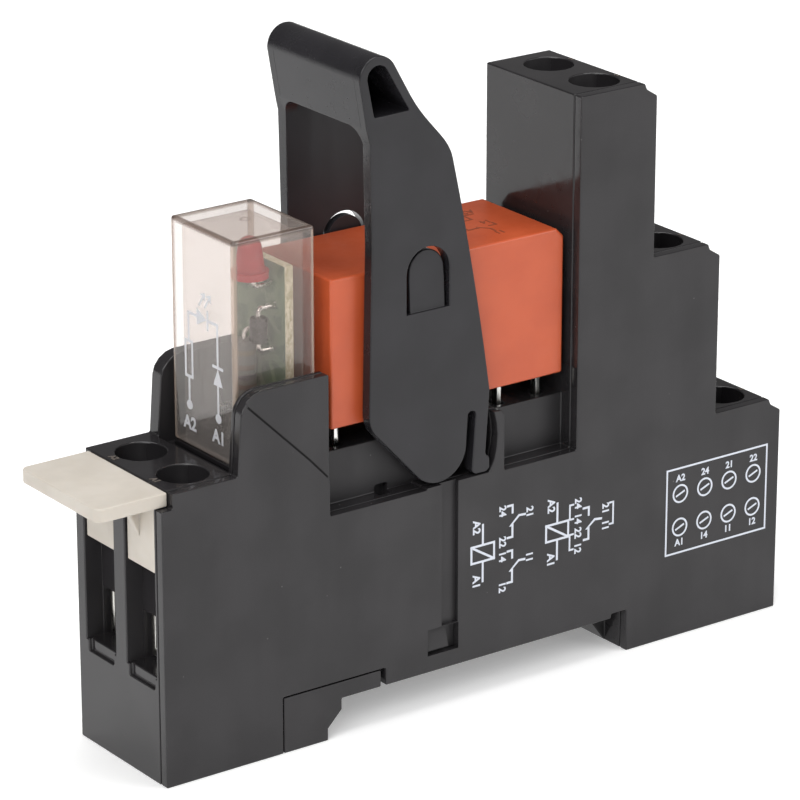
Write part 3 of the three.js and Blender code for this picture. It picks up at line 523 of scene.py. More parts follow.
def turned(name, profile, origin, axis, segments=48):
    """A closed profile of (radius, height) turned round an axis through origin."""
    bm = bmesh.new()
    angles = [math.tau * i / segments for i in range(segments)]
    rings = []
    for radius, height in profile:
        r, z = radius * MM, height * MM
        ring = [(r * math.cos(a), r * math.sin(a), z) for a in angles] if radius else [(0, 0, z)]
        rings.append([bm.verts.new(place) for place in ring])
    for lower, upper in zip(rings, rings[1:]):
        for i in range(segments):
            j = (i + 1) % segments
            corners = [lower[i % len(lower)], lower[j % len(lower)]]
            corners += [upper[j % len(upper)], upper[i % len(upper)]]
            unique = list(dict.fromkeys(corners))
            if len(unique) > 2:
                bm.faces.new(unique)
    turn = Vector((0, 0, 1)).rotation_difference(Vector(axis)).to_matrix().to_4x4()
    placed = Matrix.Translation(Vector(origin) * MM) @ turn
    bmesh.ops.transform(bm, matrix=placed, verts=bm.verts[:])
    return bmesh_object(name, bm)


def evaluated_mesh(obj):
    """A mesh of what an object comes to with its modifiers, or of a curve or text."""
    bpy.context.view_layer.update()
    return bpy.data.meshes.new_from_object(obj.evaluated_get(bpy.context.evaluated_depsgraph_get()))


def settle(obj):
    """Applies an object's modifiers."""
    mesh = evaluated_mesh(obj)
    obj.modifiers.clear()
    obj.data = mesh
    return obj


def combine(base, other, operation):
    tool = base.modifiers.new(operation.lower(), "BOOLEAN")
    tool.object = other
    tool.operation = operation
    tool.solver = "EXACT"
    settle(base)
    bpy.data.objects.remove(other)
    return base


def hollow_out(shell, low, high, wall):
    """Empties a box from below, down to its walls and its top."""
    inset = Vector((wall, wall, 0))
    inside = block("inside", low + inset - Vector((0, 0, 1)), high - inset - Vector((0, 0, wall)))
    return combine(shell, inside, "DIFFERENCE")


# a rounding that doesn't fit somewhere is narrowed there, by one step in each round of fitting
FITTING_ROUNDS = 10
FITTING_STEP = 0.5
FITTING_REACH = 1.2  # in widths of the rounding
FITTING_GROWTH = 3  # rounds in which the reach grows by its own length
FOLD_DEGREES = 120


def beside(edge, spot):
    """Distance of a point from an edge."""
    start, end = (vert.co for vert in edge.verts)
    near, share = intersect_point_line(spot, start, end)
    return (spot - (start if share < 0 else end if share > 1 else near)).length


def crossings(face):
    """Ends of the stretches where the outline of a flat face runs over itself."""
    normal = face.normal
    across = (face.verts[1].co - face.verts[0].co).normalized()
    axes = (across, normal.cross(across))
    ring = [Vector((vert.co.dot(axes[0]), vert.co.dot(axes[1]))) for vert in face.verts]
    spots = []
    count = len(ring)
    for first in range(count):
        for second in range(first + 2, count - (first == 0)):
            ends = (first, (first + 1) % count, second, (second + 1) % count)
            if intersect_line_line_2d(*(ring[end] for end in ends)):
                spots += [face.verts[end].co.copy() for end in ends]
    return spots


def faults(mesh):
    """Places on a rounded mesh where a face folds over its neighbour or its outline crosses itself."""
    bm = bmesh.new()
    bm.from_mesh(mesh)
    spots = []
    for edge in bm.edges:
        if len(edge.link_faces) == 2 and edge.calc_face_angle(0) > math.radians(FOLD_DEGREES):
            spots += [vert.co.copy() for vert in edge.verts]
    for face in bm.faces:
        if len(face.verts) > 4:
            spots += crossings(face)
    bm.free()
    return spots


def soften(obj, width, segments=3, angle=35):
    """Rounds the edges sharper than the angle, less so where a rounding doesn't fit."""
    plain = obj.data
    bm = bmesh.new()
    bm.from_mesh(plain)
    share = bm.edges.layers.float.new("bevel_weight_edge")
    for edge in bm.edges:
        if len(edge.link_faces) == 2 and edge.calc_face_angle(0) > math.radians(angle):
            edge[share] = 1.0
    for attempt in range(FITTING_ROUNDS):
        bm.to_mesh(plain)
        obj.data = plain
        bevel = obj.modifiers.new("edges", "BEVEL")
        bevel.width = width * MM
        bevel.segments = segments
        bevel.limit_method = "WEIGHT"
        bevel.use_clamp_overlap = False
        bevel.miter_outer = "MITER_ARC"
        bevel.harden_normals = True
        for polygon in obj.data.polygons:
            polygon.use_smooth = True
        settle(obj)
        spots = faults(obj.data)
        if not spots:
            break
        reach = FITTING_REACH * width * MM * (1 + attempt / FITTING_GROWTH)
        for edge in bm.edges:
            if edge[share] > 0 and any(beside(edge, spot) < reach for spot in spots):
                edge[share] *= FITTING_STEP
    bm.free()
    return obj


def weigh_normals(obj):
    """Lets the large faces decide the shading where a rounding runs into them."""
    weighted = obj.modifiers.new("normals", "WEIGHTED_NORMAL")
    weighted.weight = 100
    return settle(obj)


def smooth_by_angle(obj, angle=35):
    """Shades smooth, except over edges sharper than the angle."""
    bm = bmesh.new()
    bm.from_mesh(obj.data)
    for face in bm.faces:
        face.smooth = True
    for edge in bm.edges:
        if len(edge.link_faces) == 2:
            edge.smooth = edge.calc_face_angle(0) < math.radians(angle)
    bm.to_mesh(obj.data)
    bm.free()
    return obj


def make_whole(bm, weld_mm, flat_degrees):
    """Welds the points that lie together and makes each flat face whole."""
    bmesh.ops.remove_doubles(bm, verts=bm.verts[:], dist=weld_mm * MM)
    angle = math.radians(flat_degrees)
    bmesh.ops.dissolve_limit(bm, angle_limit=angle, verts=bm.verts[:], edges=bm.edges[:])


def tidy(obj):
    """Welds what a boolean left apart and makes the flat faces whole again."""
    bm = bmesh.new()
    bm.from_mesh(obj.data)
    make_whole(bm, 0.002, 0.5)
    bm.to_mesh(obj.data)
    bm.free()
    return obj


def made_solid(name, curve):
    """A mesh object of a curve or text."""
    holder = link(bpy.data.objects.new(name, curve))
    mesh = evaluated_mesh(holder)
    bpy.data.objects.remove(holder)
    return link(bpy.data.objects.new(name, mesh))


def wires(name, paths, radius):
    """Round wires along the paths, with flat ends, as one piece."""
    curve = bpy.data.curves.new(name, "CURVE")
    curve.dimensions = "3D"
    curve.bevel_depth = radius * MM
    curve.bevel_resolution = 4
    curve.use_fill_caps = True
    for path in paths:
        spline = curve.splines.new("POLY")
        spline.points.add(len(path) - 1)
        for point, place in zip(spline.points, path):
            point.co = (*(Vector(place) * MM), 1)
    return smooth_by_angle(made_solid(name, curve))


def dress(obj, material):
    obj.data.materials.clear()
    obj.data.materials.append(material)
    return obj


def add(obj, body, material, stands_for=()):
    """Gives a new piece its material and body and, where given and the nodes it stands for."""
    dress(obj, material)
    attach(obj, body)
    if stands_for:
        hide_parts(*stands_for)
    return obj


def joined(name, objects):
    bm = bmesh.new()
    for obj in objects:
        bm.from_mesh(obj.data)
        bpy.data.objects.remove(obj)
    mesh = bpy.data.meshes.new(name)
    bm.to_mesh(mesh)
    bm.free()
    return link(bpy.data.objects.new(name, mesh))


# ---------------------------------------------------------------- socket mouldings

# widths of the roundings
CASE_ROUND = 0.28
HOOD_ROUND = 0.3
LEVER_ROUND = 0.18
MOULDING_ROUND = 0.16
BASE_ROUND = 0.1
CAGE_ROUND = 0.12
SOLID_ROUND = 0.08
SHEET_ROUND = 0.05
SPRING_ROUND = 0.03


def refine(node, material, slot, width, segments=2, split=False):
    """Replaces a CAD node by the same solid with whole flat faces, or split ones, and rounded edges."""
    bm = bmesh.new()
    bm.from_mesh(frame["nodes"][node].data)
    make_whole(bm, 0.001, 1)
    if split:
        bmesh.ops.triangulate(bm, faces=bm.faces[:], quad_method="BEAUTY", ngon_method="BEAUTY")
    piece = bmesh_object(f"{node}_finished", bm)
    return add(soften(piece, width, segments), BODY_OF[node], material, [node])


for moulding in ("socket_housing", "side_cover", "rail_latch"):
    weigh_normals(refine(moulding, HOUSING, "housing_black", MOULDING_ROUND, 3))

for terminal in TERMINALS:
    refine(f"contact_strip_{terminal}", STRIP, "strip_brass", SHEET_ROUND)
    refine(f"clamp_cage_{terminal}", ZINC, "zinc_steel", CAGE_ROUND)
    refine(f"terminal_screw_{terminal}", ZINC, "zinc_steel", SOLID_ROUND)


# ---------------------------------------------------------------- printing

STROKE = 0.24
FINE_STROKE = 0.2
INK_HEIGHT = 0.02
NUMBER_HEIGHT = 0.05
# marks that cross take turns at this many levels, so that no two of their faces coincide
LEVELS = 5
LEVEL_STEP = 0.1


class Print:
    """Marks drawn in a face's own plane (u, v), which are joined and laid on the object by a matrix."""

    def __init__(self, name, origin, right, up, height=INK_HEIGHT):
        outward = Vector(right).cross(Vector(up))
        axes = Matrix((right, up, outward)).transposed().to_4x4()
        self.name = name
        self.matrix = Matrix.Translation(Vector(origin) * MM) @ axes
        self.height = height
        self.marks = []

    def shape(self, *rings):
        """A flat mark with its foot a little above the face."""
        level = 1 + LEVEL_STEP * (len(self.marks) % LEVELS)
        self.marks.append(prism("mark", rings, 0.1 * self.height, level * self.height, "z"))

    def line(self, points, width=STROKE):
        """A stroke of one width with mitred corners, which closes where its last point is its first."""
        corners = [Vector(point) for point in points]
        closed = corners[0] == corners[-1]
        steps = [(end - start).normalized() for start, end in zip(corners, corners[1:])]
        if closed:
            corners.pop()
            before, after = [steps[-1]] + steps[:-1], steps
        else:
            corners[0] = corners[0] - steps[0] * (width / 2)
            corners[-1] = corners[-1] + steps[-1] * (width / 2)
            before, after = [steps[0]] + steps, steps + [steps[-1]]
        left, right = [], []
        for corner, come, go in zip(corners, before, after):
            across = Vector((-come.y - go.y, come.x + go.x)).normalized()
            across *= width / 2 / max(0.5, across.dot(Vector((-go.y, go.x))))
            left.append(tuple(corner + across))
            right.append(tuple(corner - across))
        self.shape(*([left, right] if closed else [left + right[::-1]]))

    def dot(self, u, v, radius):
        self.shape(circle((u, v), radius, 24))

    def ring(self, u, v, radius, width=STROKE):
        self.shape(circle((u, v), radius + width / 2, 36), circle((u, v), radius - width / 2, 36))

    def word(self, text, u, v, size, turn=0):
        curve = bpy.data.curves.new(text, "FONT")
        curve.body = text
        curve.size = size * MM
        curve.align_x = "CENTER"
        curve.align_y = "CENTER"
        curve.extrude = self.height / 2 * MM
        curve.offset = 0.03 * size * MM
        curve.resolution_u = 6
        letters = made_solid(text, curve)
        spot = Matrix.Translation(Vector((u, v, 0.6 * self.height)) * MM)
        letters.data.transform(spot @ Matrix.Rotation(math.radians(turn), 4, "Z"))
        self.marks.append(letters)

    def lay(self, body, material):
        piece = joined(self.name, self.marks)
        piece.data.transform(self.matrix)
        return add(piece, body, material)


def coil_symbol(face, u, v, lead=2.2):
    """A relay coil between its two terminals: a box with a slash, with leads up to A2 and down to A1."""
    wide, tall = 1.45, 0.9
    box = [(u - wide, v - tall), (u + wide, v - tall), (u + wide, v + tall), (u - wide, v + tall)]
    face.line(box + box[:1])
    face.line([(u - wide, v + tall), (u + wide, v - tall)])
    face.line([(u, v + tall), (u, v + tall + lead)])
    face.line([(u, v - tall), (u, v - tall - lead)])
    face.word("A2", u - 0.85, v + tall + lead - 0.1, 1.3, -90)
    face.word("A1", u - 0.85, v - tall - lead + 0.1, 1.3, -90)


def changeover_symbol(face, u, v, names, reach=2.0):
    """A changeover contact: the open side above, the closed side below and the common arm to the right."""
    opened, closed, common = names
    face.line([(u + 0.3, v + reach), (u + 0.9, v + reach), (u + 0.9, v + reach - 0.8)])
    face.line([(u + 0.3, v - reach + 0.5), (u + 0.9, v - reach + 0.5), (u + 0.9, v - 0.2), (u + 0.7, v - 0.2),
               (u + 1.75, v + 0.7), (u + 2.5, v + 0.65)])
    face.word(opened, u - 0.4, v + reach - 0.4, 1.2, -90)
    face.word(closed, u - 0.4, v - reach + 0.2, 1.2, -90)
    face.word(common, u + 3.1, v + 0.75, 1.2, -90)


def terminal_map(face, left, bottom):
    """A plain plan of the eight terminals in their two rows, as rings with a screw slot and a number."""
    pitch, margin, tall, radius = 3.35, 1.85, 9.6, 0.95
    rows = ((bottom + 2.9, -1.75, ("A1", "14", "11", "12")), (bottom + 6.7, 1.75, ("A2", "24", "21", "22")))
    for v, number_at, names in rows:
        for i, name in enumerate(names):
            u = left + margin + pitch * i
            face.ring(u, v, radius, FINE_STROKE)
            face.line([(u - 0.5, v - 0.2), (u + 0.5, v + 0.2)], FINE_STROKE)
            face.word(name, u, v + number_at, 1.05)
    right, top = left + 2 * margin + 3 * pitch, bottom + tall
    face.line([(left, bottom), (right, bottom), (right, top), (left, top), (left, bottom)], FINE_STROKE)


def side_print():
    """The circuit twice, as two symbols and as one, and the terminal map."""
    face = Print("side_print", (0, OUTER_Y, 0), (1, 0, 0), (0, 0, 1))
    coil_symbol(face, -0.7, 11.6)
    changeover_symbol(face, 2.2, 14.0, ("24", "22", "21"))
    changeover_symbol(face, 2.2, 9.0, ("14", "12", "11"))
    coil_symbol(face, 8.95, 11.7)
    for v, name in ((14.2, "24"), (12.5, "14"), (10.9, "22"), (9.2, "12")):
        face.word(name, 11.65, v, 1.2, -90)
    for low, high in ((12.6, 14.2), (9.2, 10.9)):
        face.line([(11.05, high), (10.6, high), (10.6, low), (11.05, low)], FINE_STROKE)
    face.line([(12.4, 13.45), (13.1, 13.45), (13.1, 12.6)])
    face.line([(12.5, 9.9), (13.1, 9.9), (13.1, 11.1), (12.9, 11.1), (13.9, 11.9), (14.75, 11.8)])
    face.word("21", 15.3, 12.8, 1.2, -90)
    face.word("11", 15.3, 10.9, 1.2, -90)
    face.line([(15.9, 13.3), (16.35, 13.3), (16.35, 10.9), (15.9, 10.9)], FINE_STROKE)
    terminal_map(face, 23.6, 5.4)
    face.lay("socket", WHITE_INK)


side_print()


EAR_STEP = 0.15  # how far the upper part of the ear lies behind the printed side


def ear_step_shadow():
    """A painted shadow: the dark line along the foot of the ear's slanting step, where the step lies in shade.
    """
    face = Print("side_cover_step_shadow", (0, OUTER_Y + EAR_STEP, 0), (1, 0, 0), (0, 0, 1))
    face.line([(-29.20, 33.57), (-22.02, 26.58), (-19.95, 24.38)], FINE_STROKE)
    face.lay("socket", STEP_SHADOW)


ear_step_shadow()


# for each deck, the X of its numbers, its height and their size
DECKS = {
    "A": (-37.5, 26.7, 1.0),
    "4": (19.18, 58.0, 0.62),
    "1": (28.08, 39.2, 0.62),
    "2": (37.08, 20.1, 0.62),
}


def deck_numbers():
    """Small raised terminal numbers at the outer edge of each deck, in a light tan that is partly painted
    highlight for their glints and partly dust.
    """
    for terminal in TERMINALS:
        low, high = box_mm(f"terminal_screw_{terminal}")
        x, deck_z, size = DECKS["A" if terminal[0] == "A" else terminal[1]]
        place = (x, (low.y + high.y) / 2, deck_z)
        face = Print(f"deck_number_{terminal}", place, (0, -1, 0), (1, 0, 0), NUMBER_HEIGHT)
        face.word(terminal, 0, 0, size)
        # the tan laid on the raised numbers is partly painted highlight for their glints and partly dust
        face.lay("socket", DECK_GLINT_AND_DUST)


deck_numbers()


# ---------------------------------------------------------------- ejector lever

PIVOT = (-6.3, 24.1)
LEG_INNER = 6.6
FOOT_R = 3.5
WINDOW_X = -7.65
WINDOW_FOOT = 39.24
BAR_SLOPE_END = (-10.0, 62.15)
TONGUE_LEAN = 2.5  # degrees
SEAM_Y = 6.88
SEAM_HALF = 0.045


def bar_front():
    """Front and rounded top of the bar, down its rear slope, which the legs share."""
    return [(-14.65, 57.5), (-15.1, 59.2)] + arc((-13.7, 64.1), 2.25, 180, 30, 28)


def lever_leg_ring():
    """Outline of a leg in X and Z."""
    ring = [(-14.85, 29.6), (-14.5, 47.0)] + bar_front() + [BAR_SLOPE_END]
    ring += quadratic(BAR_SLOPE_END, (-9.0, 60.4), (-7.7, 58.93), 10)
    ring += [(-6.1, 57.12)]
    ring += quadratic(ring[-1], (-5.0, 55.9), (-4.65, 54.6), 10)
    ring += quadratic(ring[-1], (-1.8, 42.2), (0.1, 29.3), 16)
    ring += [(-0.38, 22.4), (0.0, 22.1), (0.13, 21.9), (0.15, 20.9), (0.05, 20.7), (-0.3, 20.45)]
    ring += [(-1.6, 20.45), (-1.95, 20.65), (-2.1, 21.0), (-1.7, 26.4)]
    ring += arc((-2.15, 26.9), 0.5, 0, 180, 10)
    ring += arc(PIVOT, FOOT_R, 4, -136.7, 32)
    ring += [(-14.2, 27.5)]
    ring += quadratic((-14.2, 27.5), (-14.85, 28.3), (-14.85, 29.6), 10)[:-1]
    return ring


def window_ring(centre_x, bottom, half, arch_z):
    """An upright outline with a round top."""
    top = arc((centre_x, arch_z), half, 180, 0, 24)
    return [(centre_x - half, bottom)] + top + [(centre_x + half, bottom)]


def lever_leg(side):
    """One leg with its window, and the sunken tongue that leans in toward the relay from its root."""
    outer, inner = side * HALF_WIDTH, side * LEG_INNER
    low, high = sorted((outer, inner))
    window = window_ring(WINDOW_X, WINDOW_FOOT, 2.61, 43.3)
    leg = prism("leg", [lever_leg_ring(), window], low, high, "y")
    face, back = sorted((outer - side * 0.3, inner + side * 0.12))
    tongue = prism("tongue", [window_ring(WINDOW_X + 0.1, 38.9, 2.15, 43.35)], face, back, "y")
    root = Vector((WINDOW_X, outer, WINDOW_FOOT)) * MM
    lean = Matrix.Rotation(math.radians(TONGUE_LEAN * side), 4, "X")
    tongue.data.transform(Matrix.Translation(root) @ lean @ Matrix.Translation(-root))
    return combine(leg, tongue, "UNION")


def lever_bar():
    """The bar between the legs, with a filleted web at each lower corner."""
    side_view = [(-14.6, 57.2)] + bar_front()
    side_view += [BAR_SLOPE_END, (-9.15, 60.4), (-8.65, 59.62), (-8.3, 58.95), (-13.4, 58.95), (-13.2, 57.2)]
    bar = prism("bar", [side_view], -LEG_INNER - 0.5, LEG_INNER + 0.5, "y")
    radius, bottom, wide, above = 1.8, 59.0, LEG_INNER + 1, 68
    web_foot = bottom - radius - 0.1
    front_view = [(-wide, web_foot), (-LEG_INNER, web_foot)]
    front_view += arc((radius - LEG_INNER, bottom - radius), radius, 180, 90, 10)
    front_view += arc((LEG_INNER - radius, bottom - radius), radius, 90, 0, 10)
    front_view += [(LEG_INNER, web_foot), (wide, web_foot), (wide, above), (-wide, above)]
    return combine(bar, prism("front", [front_view], -17, -7, "x"), "INTERSECT")


def ejector_lever():
    """Both legs and the hollow bar as one moulding, with the pivot pins and the cams in its feet."""
    lever = lever_leg(-1)
    combine(lever, lever_leg(1), "UNION")
    combine(lever, lever_bar(), "UNION")
    hollow = [(-14.15, 60.25), (-14.95, 64.15)] + arc((-13.7, 64.15), 1.25, 170, 30, 20) + [(-10.0, 60.35)]
    combine(lever, prism("hollow", [hollow], -HALF_WIDTH - 1, HALF_WIDTH + 1, "y"), "DIFFERENCE")
    pivot = (PIVOT, [(0, -0.75), (1.0, -0.75), (1.0, 0.7), (0.85, 0.85), (0, 0.85)], 32)
    cam = ((-0.8, 27.7), [(0, -0.5), (0.5, -0.5), (0.5, 0.6), (0.4, 0.7), (0, 0.7)], 24)
    for side in (-1, 1):
        for (x, z), profile, segments in (pivot, cam):
            place = (x, side * (LEG_INNER - 0.1), z)
            combine(lever, turned("boss", profile, place, (0, -side, 0), segments), "UNION")
    lever.name = "ejector_lever_shell"
    return weigh_normals(soften(tidy(lever), LEVER_ROUND, 3, 30))


def bar_seams():
    """The hairlines where the bar runs into each leg, on its front from web to rounded top."""
    low, high = Vector((-15.1, 59.2)), Vector((-15.95, 64.1))
    proud = Vector((-0.012, 0))
    ring = [tuple(point) for point in (low, high, high + proud, low + proud)]
    middles = (-SEAM_Y, SEAM_Y)
    seams = [prism("seam", [ring], y - SEAM_HALF, y + SEAM_HALF, "y") for y in middles]
    return joined("ejector_lever_seams", seams)


add(ejector_lever(), "ejector_lever", LEVER, ["ejector_lever"])
add(bar_seams(), "ejector_lever", BASE)


# ---------------------------------------------------------------- marking tag


def marking_tag():
    """A flat plate with two round front corners, over two prongs with a gusset each."""
    back, front, half, radius = TAG_HIGH.x, TAG_LOW.x, TAG_HIGH.y, 0.9
    plan = [(back, -half), (back, half)]
    plan += arc((front + radius, half - radius), radius, 90, 180, 10)
    plan += arc((front + radius, -half + radius), radius, 180, 270, 10)
    tag = prism("marking_tag_plate", [plan], 25.2, TAG_HIGH.z, "z")
    for y in (-3.75, 3.75):
        combine(tag, block("prong", (-39.3, y - 2.5, TAG_LOW.z), (-38.3, y + 2.5, 25.5)), "UNION")
        web = [(-39.2, 25.5), (-41.1, 25.5), (-41.1, 25.2), (-39.2, 20.9)]
        combine(tag, prism("gusset", [web], y + 0.1, y + 0.9, "y"), "UNION")
    return soften(tidy(tag), MOULDING_ROUND, 3, 30)


add(marking_tag(), "marking_tag", CREAM, ["marking_tag"])


# ---------------------------------------------------------------- indicator module

HOOD_WALL = 0.75
HOOD_STROKE = 0.3


def module_cover():
    """A thin-walled clear hood with rounded edges."""
    hood = block("module_cover_shell", MODULE_LOW, MODULE_HIGH)
    hollow_out(hood, MODULE_LOW, MODULE_HIGH, HOOD_WALL)
    return soften(tidy(hood), HOOD_ROUND, 4)


def gate_mark():
    """The small round mark where the hood was filled in its mould."""
    middle = (MODULE_LOW + MODULE_HIGH) / 2
    inner, outer, proud = 0.34, 0.60, 0.06
    profile = [(inner, 0.0), (outer, 0.0), (outer, proud), (inner, proud), (inner, 0.0)]
    place = (middle.x + 0.4, middle.y, MODULE_HIGH.z)
    return smooth_by_angle(turned("module_gate_mark", profile, place, (0, 0, 1)))


def module_print():
    """The module's circuit on its -X face: a lamp in series, a resistor branch and a diode branch."""
    face = Print("module_print", (MODULE_LOW.x, 0, 0), (0, -1, 0), (0, 0, 1))
    left, right, top, dot_z = -2.5, 2.6, 40.6, 30.9
    resistor_low, resistor_high = 33.9, 37.6
    face.line([(left, resistor_high), (left, top), (-1.0, top)], HOOD_STROKE)
    face.shape([(-1.0, top + 0.9), (-1.0, top - 0.9), (0.75, top)])
    face.line([(0.9, top + 0.9), (0.9, top - 0.9)], HOOD_STROKE)
    face.line([(0.9, top), (right, top), (right, 36.4)], HOOD_STROKE)
    for start in (-0.5, 0.5):
        face.line([(start, top + 1.3), (start + 0.9, top + 2.6)], 0.25)
        face.line([(start + 0.35, top + 2.45), (start + 0.9, top + 2.6), (start + 0.95, top + 2.0)], 0.2)
    box = [(left - 0.6, resistor_high), (left + 0.6, resistor_high)]
    box += [(left + 0.6, resistor_low), (left - 0.6, resistor_low)]
    face.line(box + box[:1], HOOD_STROKE)
    face.line([(left, resistor_low), (left, dot_z)], HOOD_STROKE)
    face.line([(right - 0.8, 36.2), (right + 0.8, 36.2)], HOOD_STROKE)
    face.shape([(right, 36.1), (right - 0.8, 34.3), (right + 0.8, 34.3)])
    face.line([(right, 34.3), (right, dot_z)], HOOD_STROKE)
    for u, name in ((left, "A2"), (right, "A1")):
        face.dot(u, dot_z, 0.5)
        face.word(name, u, dot_z - 2.0, 1.9)
    face.lay("indicator_module", HOOD_INK)


add(module_cover(), "indicator_module", CLEAR, ["module_cover"])
add(gate_mark(), "indicator_module", CLEAR)
module_print()
refine("module_base", BASE, "base_black", BASE_ROUND, split=True)
refine("module_board", BOARD, "circuit_board", SHEET_ROUND)
for blade in ("module_blade_A1", "module_blade_A2"):
    refine(blade, TINNED, "tinned_pin", SHEET_ROUND)


LAMP_FLANGE_R = 1.9
LAMP_R = 1.55
LAMP_TIP_R = 1.2
LEAD_R = 0.22
LAMP_X = LAMP_LOW.x + LAMP_FLANGE_R
LAMP_Y = (LAMP_LOW.y + LAMP_HIGH.y) / 2
LAMP_FOOT = LAMP_HIGH.z - 4.2  # underside of the lamp's flange


def lamp():
    """An upright round-topped red lamp with a flange at its foot."""
    shoulder = LAMP_HIGH.z - LAMP_TIP_R
    rounding = quarter_turn(12)[:-1]
    profile = [(0, LAMP_FOOT), (LAMP_FLANGE_R, LAMP_FOOT), (LAMP_FLANGE_R, LAMP_FOOT + 0.7)]
    profile += [(LAMP_R, LAMP_FOOT + 0.7)]
    profile += [(LAMP_TIP_R * math.cos(a), shoulder + LAMP_TIP_R * math.sin(a)) for a in rounding]
    profile += [(0, LAMP_HIGH.z)]
    return smooth_by_angle(turned("indicator_lamp_lens", profile, (LAMP_X, LAMP_Y, 0), (0, 0, 1)))


def lamp_legs():
    """Two wire leads from under the lamp, bent back to the board."""
    bend = LAMP_LOW.z + LEAD_R
    radius = 0.45
    paths = []
    for side in (-1, 1):
        path = [(LAMP_X, LAMP_FOOT), (LAMP_X, bend + radius)]
        path += [(LAMP_X + radius - radius * math.cos(a), bend + radius - radius * math.sin(a))
                 for a in quarter_turn(6)[1:]]
        path += [(BOARD_X - 0.1, bend)]
        paths.append([(x, LAMP_Y + side * 0.65, z) for x, z in path])
    return wires("indicator_lamp_legs", paths, LEAD_R)


add(lamp(), "indicator_module", LAMP, ["indicator_lamp"])
add(lamp_legs(), "indicator_module", TINNED)


BARE_LEAD = 1.15  # from the end of a small part's body to the outside of its bent lead


def axial_body(node, radius, round_r):
    """Body of a small axial part on its CAD node's own line, with rounded ends."""
    low, high = box_mm(node)
    x = low.x + radius
    y = (low.y + high.y) / 2
    z = (low.z + high.z) / 2
    half = (high.z - low.z) / 2 - BARE_LEAD
    profile = [(0, -half)]
    profile += [(radius - round_r + round_r * math.sin(a), -half + round_r * (1 - math.cos(a)))
                for a in quarter_turn(8)]
    profile += [(r, -h) for r, h in reversed(profile)]
    return smooth_by_angle(turned(f"{node}_body", profile, (x, y, z), (0, 0, 1), 40))


def axial_leads(node, radius):
    """Bright wire leads that leave both ends and bend to the board."""
    low, high = box_mm(node)
    x = low.x + radius
    y = (low.y + high.y) / 2
    bend, thick = 0.5, 0.25
    paths = []
    for tip, inward in ((high.z - thick, -1), (low.z + thick, 1)):
        path = [(x, tip + inward * (BARE_LEAD + thick)), (x, tip + inward * bend)]
        path += [(x + bend - bend * math.cos(a), tip + inward * (bend - bend * math.sin(a)))
                 for a in quarter_turn(6)[1:]]
        path += [(BOARD_X - 0.1, tip)]
        paths.append([(px, y, pz) for px, pz in path])
    return wires(f"{node}_leads", paths, thick)


AXIAL_PARTS = (
    ("blocking_diode", 0.9, 0.25, DIODE, "diode_body"),
    ("series_resistor", 1.15, 0.45, RESISTOR, "resistor_body"),
)
for node, radius, round_r, material, slot in AXIAL_PARTS:
    add(axial_body(node, radius, round_r), "indicator_module", material, [node])
    add(axial_leads(node, radius), "indicator_module", TINNED)


# ---------------------------------------------------------------- relay


CASE_WALL = 0.8


def relay_cover():
    """The orange case, open below, with a crisp chamfer along its top edge at +X."""
    low, high, chamfer = RELAY_LOW, RELAY_HIGH, 0.9
    side = [(low.x, low.z), (high.x, low.z), (high.x, high.z - chamfer)]
    side += [(high.x - chamfer, high.z), (low.x, high.z)]
    case = prism("relay_cover_shell", [side], low.y, high.y, "y")
    hollow_out(case, low, high, CASE_WALL)
    return soften(tidy(case), CASE_ROUND, 4, 30)


def relay_print():
    """The coil and one changeover contact as plain symbols on top of the case."""
    face = Print("relay_print", (RELAY_HIGH.x - 7.0, 0, RELAY_HIGH.z), (0, -1, 0), (1, 0, 0))
    coil_symbol(face, -2.6, 0, lead=1.2)
    changeover_symbol(face, 0.6, 0, ("14", "12", "11"))
    face.lay("relay", BROWN_INK)


add(relay_cover(), "relay", ORANGE, ["relay_cover"])
relay_print()

RELAY_PARTS = (
    ("relay_base", BASE, "base_black"),
    ("coil_bobbin", IVORY, "bobbin_ivory"),
    ("coil_winding", COPPER, "winding_copper"),
    ("coil_core", IRON, "soft_iron"),
    ("coil_yoke", IRON, "soft_iron"),
    ("armature", IRON, "soft_iron"),
    ("actuator_card", IVORY, "bobbin_ivory"),
)
for part in RELAY_PARTS:
    refine(*part, SOLID_ROUND)
refine("return_spring", SPRING, "spring_steel", SPRING_ROUND)
for pole in ("1", "2"):
    for pin in (f"coil_pin_A{pole}", f"common_pin_{pole}1"):
        refine(pin, TINNED, "tinned_pin", SHEET_ROUND)
    for blade in (f"moving_contact_{pole}1", f"closed_contact_{pole}2", f"open_contact_{pole}4"):
        refine(blade, CONTACT, "contact_brass", SHEET_ROUND)


# ---------------------------------------------------------------- studio

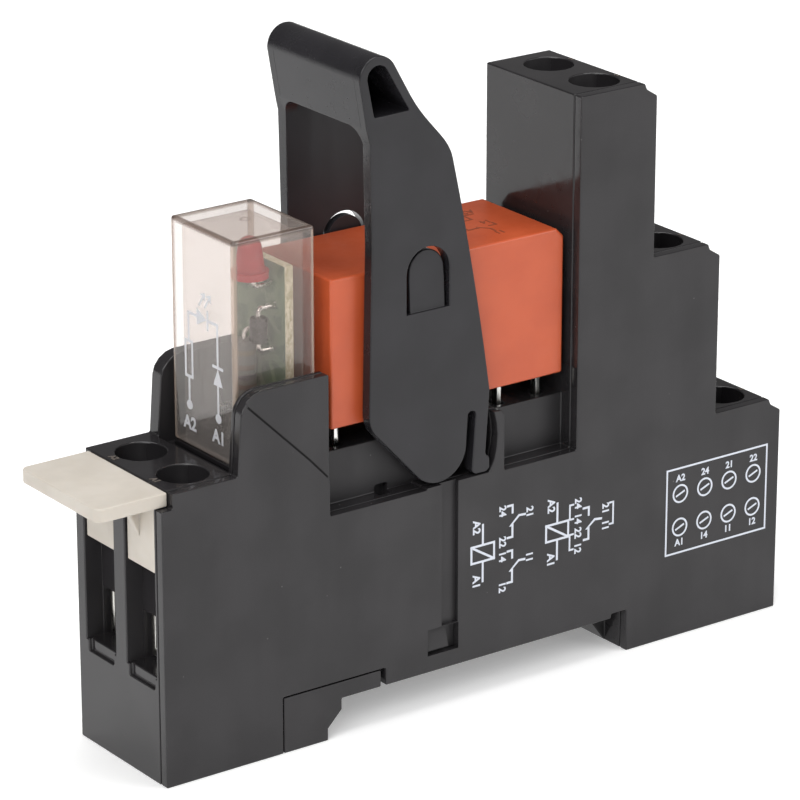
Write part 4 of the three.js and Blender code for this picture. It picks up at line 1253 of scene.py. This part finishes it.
VIEW_FROM = Vector((-246.32, -331.59, 178.10)) * MM
VIEW_ALONG = Vector((0.5515, 0.7590, -0.3460))
LENS_MM = 192.93
SENSOR_MM = 36
FLOOR_HALF = 6.0
LIGHTS_AIM = Vector((0, 0, 0.03))


def studio_camera():
    camera = bpy.data.cameras.new("camera")
    camera.lens = LENS_MM
    camera.sensor_width = SENSOR_MM
    camera.clip_start = 0.01
    holder = link(bpy.data.objects.new("camera", camera))
    holder.location = VIEW_FROM
    holder.rotation_euler = VIEW_ALONG.to_track_quat("-Z", "Y").to_euler()
    bpy.context.scene.camera = holder


def studio_floor():
    bm = bmesh.new()
    bmesh.ops.create_grid(bm, x_segments=1, y_segments=1, size=FLOOR_HALF)
    bmesh.ops.translate(bm, verts=bm.verts[:], vec=(0, 0, CAD_BOX[0][2]))
    floor = bmesh_object("floor", bm)
    s = Surface("floor_white", Roughness=0.9)
    s.set("Base Color", s.blend(s.noise(60.0, 2.0), rgb(0.90, 0.90, 0.90), rgb(0.93, 0.93, 0.93)))
    s.set("Specular IOR Level", 0.1)
    s.set("Emission Color", rgb(1.0, 1.0, 1.0))
    s.set("Emission Strength", 0.25)
    dress(floor, s.material)


def soft_light(name, place, size, power):
    light = bpy.data.lights.new(name, "AREA")
    light.shape = "SQUARE"
    light.size = size
    light.energy = power
    holder = link(bpy.data.objects.new(name, light))
    holder.location = place
    aim = LIGHTS_AIM - holder.location
    holder.rotation_euler = aim.to_track_quat("-Z", "Y").to_euler()


def studio_world():
    world = bpy.data.worlds.new("studio")
    world.use_nodes = True
    background = world.node_tree.nodes["Background"]
    background.inputs["Color"].default_value = rgb(1.0, 0.99, 0.98)
    background.inputs["Strength"].default_value = 0.16
    bpy.context.scene.world = world


studio_camera()
studio_floor()
studio_world()
soft_light("key_left", (-0.85, -0.55, 0.75), 0.8, 9.2)
soft_light("fill_right", (0.75, -0.85, 0.60), 0.8, 6.6)
soft_light("top", (0.0, 0.15, 1.2), 1.0, 11.5)
bpy.context.scene.view_settings.view_transform = "Standard"
